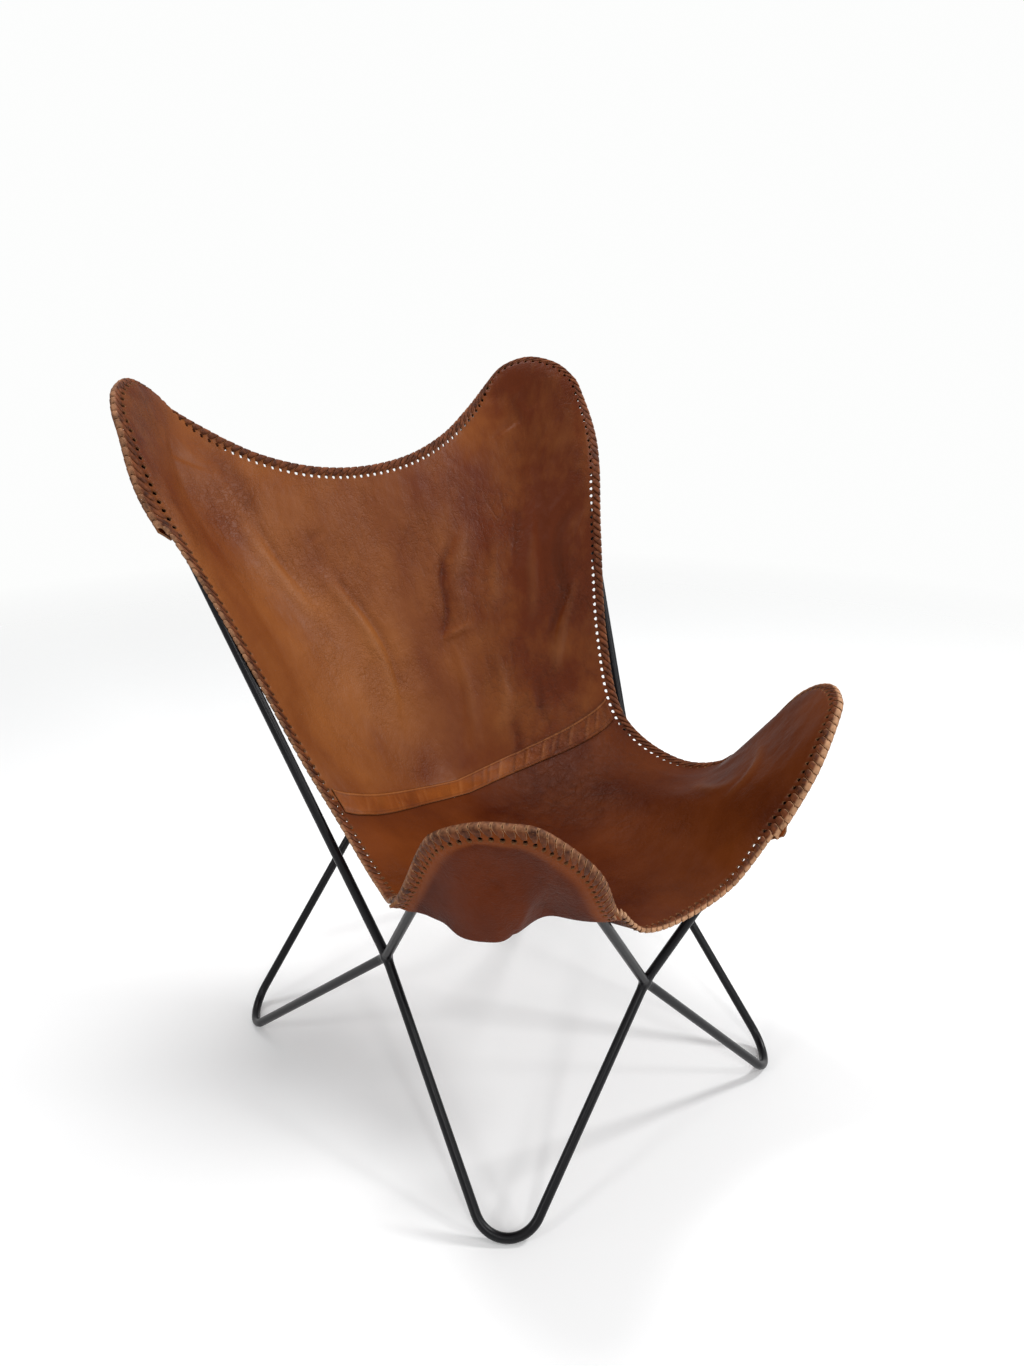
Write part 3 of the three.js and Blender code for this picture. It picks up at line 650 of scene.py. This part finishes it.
# Frame: smooth rods and welds over the CAD's
roundAngles = np.linspace(0, 2 * math.pi, rods["sides"], endpoint=False)
roundSection = np.stack([np.cos(roundAngles), np.sin(roundAngles)], -1) * rodRadius
for (end, side), rod in list(hoops.items()) + list(feet.items()):
    isFoot = rod in feet.values()
    line = rod.line(rods["bendSteps"])
    ups, sides = frameAlong(line, rod.axis)
    name = ("foot_rod_" if isFoot else "hoop_rod_") + f"{end}_{side}"
    ring = np.broadcast_to(roundSection, (1, len(line), *roundSection.shape))
    piece = sweep(name, line[None], ups[None], sides[None], ring, [paintFinish], rods["sharpAngle"])
    for vert in piece.data.vertices:
        vert.co.z = max(vert.co.z, 0)
    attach(piece, "root")
    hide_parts(("foot_hoop_" if isFoot else "hoop_") + f"{end}_{side}")


def weld(name, node, arms):
    # Stubs of rod run together by a remesh, then smoothed to a fillet
    bm = bmesh.new()
    sides, reach = rods["weldSides"], rods["weldReach"]
    bmesh.ops.create_uvsphere(bm, u_segments=sides, v_segments=rods["weldRings"], radius=rods["weldSize"])
    for arm in arms:
        turn = Vector((0, 0, 1)).rotation_difference(Vector(arm)).to_matrix().to_4x4()
        bmesh.ops.create_cone(bm, cap_ends=True, segments=sides, radius1=rodRadius + rods["weldSwell"],
                              radius2=rodRadius - rods["weldTaper"], depth=reach,
                              matrix=turn @ Matrix.Translation((0, 0, reach / 2)))
    bmesh.ops.transform(bm, matrix=Matrix.Scale(mm, 4), verts=bm.verts)
    bmesh.ops.translate(bm, vec=toWorld(node), verts=bm.verts)
    piece = finishMesh(bm, name, [paintFinish])
    remesh = piece.modifiers.new("run together", "REMESH")
    remesh.mode, remesh.voxel_size, remesh.use_smooth_shade = "VOXEL", rods["weldGrain"] * mm, True
    soften = piece.modifiers.new("fillet", "SMOOTH")
    soften.factor, soften.iterations = .5, rods["filletRounds"]
    ready = piece.evaluated_get(bpy.context.evaluated_depsgraph_get())
    mesh = bpy.data.meshes.new_from_object(ready)
    piece.modifiers.clear()
    piece.data = mesh
    piece.data.name = name
    return piece


for name, node in (("side_left", corner["sideNode"] * mirrorX), ("side_right", corner["sideNode"]),
                   ("front", corner["frontNode"]), ("back", corner["backNode"])):
    arms = []
    for rod in list(hoops.values()) + list(feet.values()):
        line = rod.line(2)
        for here, there in ((line[0], line[1]), (line[-1], line[-2])):
            if np.allclose(here, node):
                arms.append(unitOf(there - here))
    piece = weld("joint_" + name, node, arms)
    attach(piece, "root")
    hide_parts("weld_" + name)
print("frame ready")

# Hides: a fine grid with a laced strip round three sides
hide = {
    "perCell": 3, "depths": (18, 14.8, 10.2, 6.8, 3.4, 0), "holeRow": 1, "hole": 2.9, "bevel": .45,
    "rimAngle": 60, "backRidgeHighlight": .3, "seatRidgeHighlight": .45,  # how strong the painted highlight on the folds' ridges is
    "rodPullAndHighlight": (6, 12, .15),  # paler where the leather is lifted by more than 6 mm, fully at 18 mm: pull-up over the rods and a painted highlight along them
    "foldHeight": 4, "foldShade": .8,  # mm of fold for the full painted highlight on ridges and painted shade in valleys, and how dark that painted shade is
    "seamShade": (18, 2.5, .25), "stripShade": (.25, .15),  # where, for the seam how wide, and how dark
    # Darker and lighter patches: u, v, reach in u and v, darker or, below 0, lighter. The first of each
    # list is painted shade for light from the right (the back's right side, the seat's middle), the seat's
    # second is painted light on its left, the others simply darken or lighten a patch
    "backShadeAndTone": [(1, .3, .75, .4, .7), (-.95, .01, .2, .12, .8), (.9, 0, .3, .1, .3),
                   (-.3, .4, .5, .16, -.5), (-.9, .5, .1, .2, .2)],
    "seatShadeAndTone": [(.35, .68, .5, .08, .6), (-.5, .62, .45, .06, -.7), (.55, .88, .35, .07, -.3),
                   (.85, .96, .2, .06, -.6), (-.2, .93, .3, .05, .2)],
}
stripRows = len(hide["depths"]) - 1
stripShares = 1 - np.array(hide["depths"]) / hide["depths"][0]


def isHoleStep(k):
    # True at the middle step of each cell past the strip's corner
    return k >= stripRows and (k - stripRows) % hide["perCell"] == hide["perCell"] // 2


def tintedGrid(columns, rows):
    # A flat grid with the leather's vertex values: paler (pull-up and painted highlight), darker or lighter
    # (painted shade and light, with patches), and painted shade with the band's stitches
    bm = bmesh.new()
    bmesh.ops.create_grid(bm, x_segments=columns, y_segments=rows, size=1)
    layers = [bm.verts.layers.float.new(name) for name in ("pullAndHighlight", "shadingAndTone", "shade")]
    return bm, layers, *gridSteps(bm, columns, rows)


def setTints(bm, layers, *amounts):
    for layer, values in zip(layers, amounts):
        for vert, value in zip(bm.verts, values):
            vert[layer] = value


def thicken(piece, thickness):
    solid = piece.modifiers.new("thickness", "SOLIDIFY")
    solid.thickness, solid.offset, solid.material_offset_rim = thickness * mm, 0, 1


def punchHoles(bm, isHole):
    # The centre face of each cell becomes a hole with eight corners
    eighth = math.pi / 4
    faces = [f for f in bm.faces if isHole(f)]
    edges = [e for e in bm.edges if any(isHole(f) for f in e.link_faces)]
    bmesh.ops.bisect_edges(bm, edges=edges, cuts=1)
    for face in faces:
        middle = face.calc_center_median()
        square = [v for v in face.verts if len(v.link_edges) > 2]
        first = (square[0].co + square[1].co) / 2 - middle
        normal = face.normal.normalized()
        first = (first - normal * first.dot(normal)).normalized()
        second = normal.cross(first)
        for vert in face.verts:
            off = vert.co - middle
            angle = round(math.atan2(off.dot(second), off.dot(first)) / eighth) * eighth
            vert.co = middle + (first * math.cos(angle) + second * math.sin(angle)) * hide["hole"] * mm
    bmesh.ops.delete(bm, geom=faces, context="FACES_ONLY")


def leatherSheet(bm, name, finish, node, facing):
    # Turns the faces the given way, then adds the thickness and softens the rims
    bm.normal_update()
    face = max(bm.faces, key=lambda f: f.calc_area())
    if face.normal.dot(facing(face)) < 0:
        bmesh.ops.reverse_faces(bm, faces=bm.faces)
    piece = finishMesh(bm, name, [finish, edgeFinish])
    thicken(piece, sling["thickness"])
    soft = piece.modifiers.new("worn rims", "BEVEL")
    soft.width, soft.segments, soft.material = hide["bevel"] * mm, 1, -1
    soft.limit_method, soft.angle_limit = "ANGLE", math.radians(hide["rimAngle"])
    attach(piece, "root")
    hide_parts(node)
    return piece


def hidePanel(end, finish):
    columns, rows = cells["top"] * hide["perCell"], cells[end] * hide["perCell"]
    nx = columns + 2 * stripRows
    bm, layers, i, j = tintedGrid(nx, rows + stripRows)
    tag = bm.faces.layers.int.new("hole")
    fromEdge = np.minimum(i, nx - i)
    gone = [f for f in bm.faces if all(max(fromEdge[v.index], j[v.index]) <= stripRows for v in f.verts)]
    u = np.clip((i - stripRows) / columns, 0, 1) * 2 - 1
    start = 0 if end == "back" else 1
    v = start + (sling["seam"] - start) * np.clip((j - stripRows) / rows, 0, 1)
    share = stripShares[np.maximum(stripRows - np.minimum(fromEdge, j), 0)]
    points, _, lift = sheetSpots(u, v, share)
    placeVerts(bm, points)

    # Paler over rods (pull-up and painted highlight) and on ridges (painted highlight), darker in folds
    # (painted shade) and in patches (partly painted shade and light), painted shade at the seam and the
    # strip
    # Painted highlight on fold ridges and painted shade in fold valleys
    rise = foldRise(points) / hide["foldHeight"]
    pullFrom, pullOver, pale = hide["rodPullAndHighlight"]
    # Pull-up and painted highlight over the rods, then painted highlight on fold ridges
    pulledAndLit = np.clip((lift - pullFrom) / pullOver, 0, 1) * pale
    pulledAndLit = pulledAndLit + np.clip(rise, 0, 1) * hide[end + "RidgeHighlight"]
    darker = np.clip(-rise, 0, 1) * hide["foldShade"]
    # Painted shade and painted light for light from the right, with other darker and lighter patches
    for au, av, ru, rv, much in hide[end + "ShadeAndTone"]:
        darker = darker + much * np.exp(-((u - au) / ru) ** 2 - ((v - av) / rv) ** 2)
    seamAway, seamReach, seamDark = hide["seamShade"]
    stripFrom, stripDark = hide["stripShade"]
    away = np.abs(v - sling["seam"]) * outer.side.length
    shaded = np.exp(-((away - seamAway) / seamReach) ** 2) * seamDark + (share > stripFrom) * stripDark
    setTints(bm, layers, pulledAndLit, np.clip(darker, -1, 1), shaded)

    holeStep = stripRows - 1 - hide["holeRow"]
    for face in bm.faces:
        fi, fj = min(i[v.index] for v in face.verts), min(j[v.index] for v in face.verts)
        atSide = fi in (holeStep, nx - 1 - holeStep) and isHoleStep(fj)
        atEnd = fj == holeStep and fi < nx - stripRows and isHoleStep(fi)
        face[tag] = int(atSide or atEnd)
    bmesh.ops.delete(bm, geom=gone, context="FACES")
    bmesh.ops.remove_doubles(bm, verts=bm.verts, dist=mergeWithin["sheets"])
    bm.normal_update()
    punchHoles(bm, lambda f: f[tag] == 1)
    return leatherSheet(bm, end + "_hide", finish, end + "_panel",
                        lambda f: Vector((0, -.5, 1)))


backHide, seatHide = hidePanel("back", backFinish), hidePanel("seat", seatFinish)
print("hides ready")

# Pockets: leather laced in behind each ear, cut off along a bowed free edge
pockets = {
    # worn sets the strength of a painted highlight where the leather rolls over the rod
    "back": {"bag": 8, "lobe": 0, "dent": 0, "tab": .05, "worn": .1},
    "front": {"bag": 20.6, "lobe": 36.9, "dent": 8, "tab": .3, "worn": .55},
    "bow": .2, "lobeTurn": .603, "lobeHalfTurn": .26, "dentTurn": .49, "dentHalfTurn": .08,
    # The three tone values: an even darker tone, painted shade beside the lobe and painted light on the
    # lobe
    "tabSteps": (5, 4), "rollSteps": (.5, 3.5), "toneAndShading": (.1, .25, .3), "inside": (0, 0, 450),
}


def pocket(end, side):
    own, panel = pockets[end], "back" if end == "back" else "seat"
    across, down = (count * hide["perCell"] for count in cells[end + "Ear"])
    bm, layers, *steps = tintedGrid(across + stripRows, down + stripRows)
    tag = bm.faces.layers.int.new("hole")
    for vert, a, b in zip(bm.verts, *steps):
        vert.co = (a, b, 0)
    gone = [f for f in bm.faces if all(max(v.co.x, v.co.y) <= stripRows for v in f.verts)]
    bmesh.ops.delete(bm, geom=gone, context="FACES")
    holeStep = stripRows - 1 - hide["holeRow"]
    for face in bm.faces:
        fi, fj = min(v.co.x for v in face.verts), min(v.co.y for v in face.verts)
        face[tag] = int((fi == holeStep and isHoleStep(fj)) or (fj == holeStep and isHoleStep(fi)))
    cut = Vector((stripRows + across, stripRows, 0))
    bmesh.ops.bisect_plane(bm, geom=bm.verts[:] + bm.edges[:] + bm.faces[:], plane_co=cut,
                           plane_no=Vector((down, across, 0)), clear_outer=True, dist=mergeWithin["cut"])
    spots = np.array([v.co[:2] for v in bm.verts])
    a, b = np.maximum(spots[:, 0] - stripRows, 0), np.maximum(spots[:, 1] - stripRows, 0)
    out = np.maximum(stripRows - spots[:, 0], stripRows - spots[:, 1])

    # run grows from the ear's corner to the free edge, turn from one side of the ear to the other
    run = np.clip(a / across + b / down, 0, 1)
    turn = np.divide(b / down, run, out=np.zeros_like(run), where=run > 0)
    share = np.interp(out, np.arange(stripRows + 1), stripShares)
    tabSteps, tabOver = pockets["tabSteps"]
    toEnd = np.maximum(a - across, b - down) + tabSteps
    share = np.where(out > 0, share * (1 + own["tab"] * ease(toEnd / tabOver)), share)
    bow = np.sin(math.pi * turn)
    grow = (1 + pockets["bow"] * bow * run) / hide["perCell"]
    start = 0 if end == "back" else 1
    u = (1 if side == "right" else -1) * (1 - 2 * a * grow / cells["top"])
    v = start + (sling["seam"] - start) * b * grow / cells[panel]
    belly = np.exp(-((turn - pockets["lobeTurn"]) / pockets["lobeHalfTurn"]) ** 4)
    dent = np.exp(-((turn - pockets["dentTurn"]) / pockets["dentHalfTurn"]) ** 2)
    slack = (own["bag"] * bow + own["lobe"] * belly - own["dent"] * dent) * run**2
    points, _, _ = sheetSpots(u, v, share, -1, np.where(out > 0, 0, slack))
    placeVerts(bm, points)
    rollFrom, rollOver = pockets["rollSteps"]
    rollHighlight = 1 - ease((np.minimum(a, b) - rollFrom) / rollOver)  # painted highlight where the leather turns over the rod
    plain, hollowShade, lobe = pockets["toneAndShading"]
    # Darker overall, painted shade beside the lobe, painted light on the lobe towards the free edge
    darker = plain + hollowShade * (1 - belly) * run - lobe * belly * run**2
    setTints(bm, layers, rollHighlight * own["worn"], darker * (1 - rollHighlight))
    bmesh.ops.remove_doubles(bm, verts=bm.verts, dist=mergeWithin["sheets"])
    bm.normal_update()
    punchHoles(bm, lambda f: f[tag] == 1 and len(f.verts) == 4)
    middle = Vector(toWorld(pockets["inside"]))
    return leatherSheet(bm, f"ear_pocket_{end}_{side}", pocketFinish,
                        f"pocket_{end}_{side}", lambda f: f.calc_center_median() - middle)


earPockets = {(end, side): pocket(end, side) for end in ("back", "front") for side in ("left", "right")}
print("pockets ready")

# Lacing: from each hole a flat strand runs aslant over the rim and back down to the next hole
lace = {
    "width": .93, "narrow": .2, "thick": 1.2, "clear": .3, "tilt": .05, "rimFrom": .97, "rimLean": 1.2,
    "leastUp": 1e-3,
    # Section: across and up in half widths and half thicknesses, and how pale where the rim is worn
    "section": [(-1, -.2, 1), (-.75, 1, 0), (.75, 1, 0), (1, -.2, 1), (.75, -1, .3), (-.75, -1, .3)],
}
halfCells = cells["top"] // 2 + cells["back"] + cells["seat"] + cells["front"] // 2
laceStations = [  # cells along from the hole, share of the strip's width outwards, height, width, pale rim
    (.03, .39, 0, .3, 0), (.1, .44, .85, .45, 0), (.42, .63, 1, .85, 0), (.9, .86, 1, 1, .1),
    (1.2, .985, .8, 1, .7), (1.3, 1.05, 0, 1, 1), (1.24, .985, -.8, 1, .7), (1.16, .84, -1, .9, .1),
    (1.06, .64, -1, .55, 0), (1.01, .49, -.85, .22, 0), (1, .45, 0, .15, 0)]


def edgePlace(q):
    # (u, v) at a number of cells along the edge from the top centre, negative on the left
    reach = np.abs((q + halfCells) % (2 * halfCells) - halfCells)
    sign = np.where((q + halfCells) % (2 * halfCells) >= halfCells, 1, -1)
    top, back, seat = cells["top"] / 2, cells["back"], cells["seat"]
    u = np.minimum(1, np.minimum(reach / top, (halfCells - reach) / (cells["front"] / 2)))
    past = sling["seam"] + (reach - top - back) / seat * (1 - sling["seam"])
    v = np.where(reach < top + back, (reach - top) / back * sling["seam"], past)
    return sign * u, np.clip(v, 0, 1)


def laceRun(name, first, last, wear):
    # One strand for each hole: its middle line, and the directions along the edge and out of the leather
    hole = first + .5 + np.arange(last - first)
    cover = (sling["thickness"] + lace["thick"]) / 2 + lace["clear"]
    centre, up, side, pitch = [], [], [], []
    for along, depth, height, _, _ in laceStations:
        u, v = edgePlace(hole + along)
        share = np.full(last - first, min(depth, 1))
        near, normal, _ = sheetSpots(u, v, share)
        under, _, _ = sheetSpots(u, v, share, -1)
        low = np.where((pastEar(u, v) < 0)[:, None], under, near)
        high, low = near + normal * cover, low - normal * cover
        outwards = outer.at(u, v) - inner.at(u, v)
        centre.append((high + low) / 2 + (high - low) / 2 * height + outwards * max(depth - 1, 0))
        ahead, behind = (stripBase(*edgePlace(hole + along + step), share) for step in (.5, -.5))
        side.append(unitOf(ahead - behind))
        pitch.append(np.linalg.norm(ahead - behind, axis=-1))
        lean = lace["rimLean"] if depth > lace["rimFrom"] else 0
        up.append(normal * (height + lace["leastUp"]) + unitOf(outwards) * lean)
    centre, up, side, pitch = (np.stack(rows, 1) for rows in (centre, up, side, pitch))
    up = unitOf(up - side * dot(up, side))
    stations, (sectionX, sectionY, sectionPale) = np.array(laceStations), np.array(lace["section"]).T
    width = pitch * mix(lace["narrow"], lace["width"], stations[:, 3])
    flat = width[..., None] / 2 * sectionX
    ring = np.stack([flat, sectionY * lace["thick"] / 2 + flat * lace["tilt"]], -1)
    face, rim = wear
    pale = np.maximum(stations[:, 4:] * face, sectionPale * rim)
    piece = sweep("lace_" + name, centre, up, side, ring, [laceFinish], 0, pale)
    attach(piece, "root")
    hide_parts("lacing_" + name)
    return piece


tipBack = cells["top"] // 2
tipFront = tipBack + cells["back"] + cells["seat"]
(backAcross, backDown), (frontAcross, frontDown) = cells["backEar"], cells["frontEar"]
for name, first, last, wear in (
        ("ear_back_right", tipBack - backAcross, tipBack + backDown, (.4, .3)),
        ("side_right", tipBack + backDown, tipFront - frontDown, (.4, .35)),
        ("ear_front_right", tipFront - frontDown, tipFront + frontAcross, (1, 1)),
        ("front", tipFront + frontAcross, 2 * halfCells - tipFront - frontAcross, (1, 1)),
        ("ear_front_left", -tipFront - frontAcross, -tipFront + frontDown, (.35, .9)),
        ("side_left", -tipFront + frontDown, -tipBack - backDown, (.6, .4)),
        ("ear_back_left", -tipBack - backDown, -tipBack + backAcross, (.5, .4)),
        ("top", -tipBack + backAcross, tipBack - backAcross, (.3, .3))):
    laceRun(name, first, last, wear)
print("lacing ready")

# Seam band: a puckered strip over the joint of the two hides
band = {
    "top": .551, "foot": .586, "columns": 320, "rows": 16, "thickness": 1.3, "clear": .2, "pucker": .6,
    "rim": .35, "slant": .09, "sewnDown": .7, "stitches": (2, 14),
    "waves": [(23, 1, 0, .3), (41, 0, 2, .2)],  # turns across, start, lean and height
    "creases": 25, "spread": .97, "spacing": .618, "sway": (2.4, .02),
    "crease": (.006, .016, .011, .8),  # half width, then the ridge beside it: away, half width and height
    "depths": (.35, -.4, .9),  # of the creases: on the left, then where and over how much they deepen
    "light": (.35, .5), "dark": (.5, .6, .2),  # painted highlight and painted shade: by the waves, and at the edges (a highlight line and shadow lines), with the dark stitches
    # Then a painted highlight line below the top edge, and painted shade darkening the band towards its
    # right end
    "rimWidth": .1, "lineWidth": .04, "lightLine": (.07, .035), "rightShade": (-.2, 1.1, .45),
}


def seamBand():
    bm, layers, i, j = tintedGrid(band["columns"], band["rows"])
    u, across = i / band["columns"] * 2 - 1, j / band["rows"]
    points, normal, _ = sheetSpots(u, mix(band["top"], band["foot"], across), np.zeros(len(u)))
    slant = u + across * band["slant"]
    wave = sum(high * np.sin(slant * turns + start + across * lean)
               for turns, start, lean, high in band["waves"])
    half, ridgeAway, ridgeHalf, ridgeHigh = band["crease"]
    (turn, sway), (shallow, deepFrom, deepOver) = band["sway"], band["depths"]
    for k in range(band["creases"]):
        place = band["spread"] * (2 * (k * band["spacing"] % 1) - 1)
        deep = mix(shallow, 1, ease((place - deepFrom) / deepOver))
        off = slant - place + math.sin(k * turn) * sway * across
        ridge = ridgeHigh * np.exp(-((off - ridgeAway) / ridgeHalf) ** 2)
        wave = wave + deep * (ridge - np.exp(-(off / half) ** 2))
    middle = np.sin(math.pi * across) ** .5
    height = (sling["thickness"] + band["thickness"]) / 2 + band["clear"]
    height = height + band["pucker"] * (1 + wave * middle)
    height = height + band["rim"] * (across < band["rimWidth"]) - band["sewnDown"] * ease(across * 4 - 3)
    placeVerts(bm, points + normal * height[:, None])
    # Painted highlight on wave crests and the line below the top edge; painted shade in the hollows,
    # painted shadow lines at both edges, dark stitches, and painted shade growing to the right
    onWaves, onEdge = band["light"]
    lineAt, lineHalf = band["lightLine"]
    bright = np.clip(wave * middle, 0, 1) * onWaves + (np.abs(across - lineAt) < lineHalf) * onEdge
    inWaves, atTop, atFoot = band["dark"]
    stitched = np.isin(j, band["stitches"]) * (i % 2)
    dark = np.clip(-wave * middle, 0, 1) * inWaves + (across > 1 - band["lineWidth"]) * atFoot
    dark = dark + ((across < band["lineWidth"]) + stitched) * atTop
    rightShadeFrom, rightShadeOver, rightShade = band["rightShade"]
    setTints(bm, layers, bright, rightShade * ease((u - rightShadeFrom) / rightShadeOver), dark)
    bm.normal_update()
    if sum(f.normal.z for f in bm.faces) < 0:
        bmesh.ops.reverse_faces(bm, faces=bm.faces)
    piece = finishMesh(bm, "seam_strip", [bandFinish, edgeFinish])
    thicken(piece, band["thickness"])
    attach(piece, "root")
    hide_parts("seam_band")
    return piece


seamStrip = seamBand()
print("seam band ready")


for (end, side), piece in earPockets.items():
    "ear_pocket_" + end

# Stage: pale floor, soft light from above and the photograph's camera
stage = {
    "floor": (244, 244, 244), "floorSize": 4, "fade": (1.2, 3), "glow": .1,
    "backdrop": (.98, .985, .98), "ambient": (.52, .525, .53),
    "lights": [  # place, height of the aim, size and power
        ("key", (2.1, -.95, 2.2), .4, .5, 37), ("overhead", (-.1, .4, 2.6), 0, .8, 29),
        ("front_right", (1.0, -2.35, 2.0), .4, .35, 10), ("front_left", (-1.15, -2.3, 1.9), .4, .3, 12),
        ("left", (-2.4, -.2, 1.8), .4, .4, 8)],
    # Camera, with its focal length and the picture's middle in pixels of the photograph
    "camera": (-.8254, -.9916, 1.031), "yaw": -40.307, "pitch": -20.769, "roll": .193,
    "focal": 1063.8, "middle": (512.8, 685.0), "image": (1024, 1366), "sensor": 36, "nearClip": .05,
}
bm = bmesh.new()
bmesh.ops.create_grid(bm, x_segments=1, y_segments=1, size=stage["floorSize"])
f = Finish("studio_floor")
away = f.node("ShaderNodeVectorMath", {"operation": "LENGTH"}, {0: f.place}, "Value")
floor = finishMesh(bm, "floor", [f.done(
    [(f.noise("floor"), .02, .0002)], Base_Color=tone(*stage["floor"]), Roughness=.7, Specular_IOR_Level=.1,
    Emission_Color=(1, 1, 1, 1), Emission_Strength=stage["glow"],
    Alpha=away.between(*stage["fade"], 1, 0))])
for name, place, aimHeight, size, power in stage["lights"]:
    lamp = bpy.data.lights.new(name, "AREA")
    lamp.shape, lamp.size, lamp.energy = "DISK", size, power
    lampObject = bpy.data.objects.new(name, lamp)
    lampObject.location = place
    ray = Vector((0, 0, aimHeight)) - Vector(place)
    lampObject.rotation_euler = ray.to_track_quat("-Z", "Y").to_euler()
    scene.collection.objects.link(lampObject)
world = bpy.data.worlds.new("studio")
world.use_nodes = True
nodes, links = world.node_tree.nodes, world.node_tree.links
seen = nodes.new("ShaderNodeLightPath")
pick = nodes.new("ShaderNodeMix")
pick.data_type = "RGBA"
pick.inputs[6].default_value, pick.inputs[7].default_value = (*stage["ambient"], 1), (*stage["backdrop"], 1)
links.new(seen.outputs["Is Camera Ray"], pick.inputs[0])
links.new(pick.outputs[2], nodes["Background"].inputs["Color"])
scene.world = world
scene.view_settings.view_transform = "Standard"

(imageWidth, imageHeight), (middleX, middleY) = stage["image"], stage["middle"]
camera = bpy.data.cameras.new("photo_view")
camera.sensor_width = stage["sensor"]
camera.lens = stage["focal"] * stage["sensor"] / imageHeight
camera.shift_x = (imageWidth / 2 - middleX) / imageHeight
camera.shift_y = (middleY - imageHeight / 2) / imageHeight
camera.clip_start = stage["nearClip"]
view = bpy.data.objects.new("photo_view", camera)
view.matrix_world = Matrix.Translation(Vector(stage["camera"]) + Vector((0, shiftY * mm, 0)))
for degrees, axis in ((stage["yaw"], "Z"), (stage["pitch"] + 90, "X"), (stage["roll"], "Z")):
    view.matrix_world = view.matrix_world @ Matrix.Rotation(math.radians(degrees), 4, axis)
scene.collection.objects.link(view)
scene.camera = view
print("stage ready")
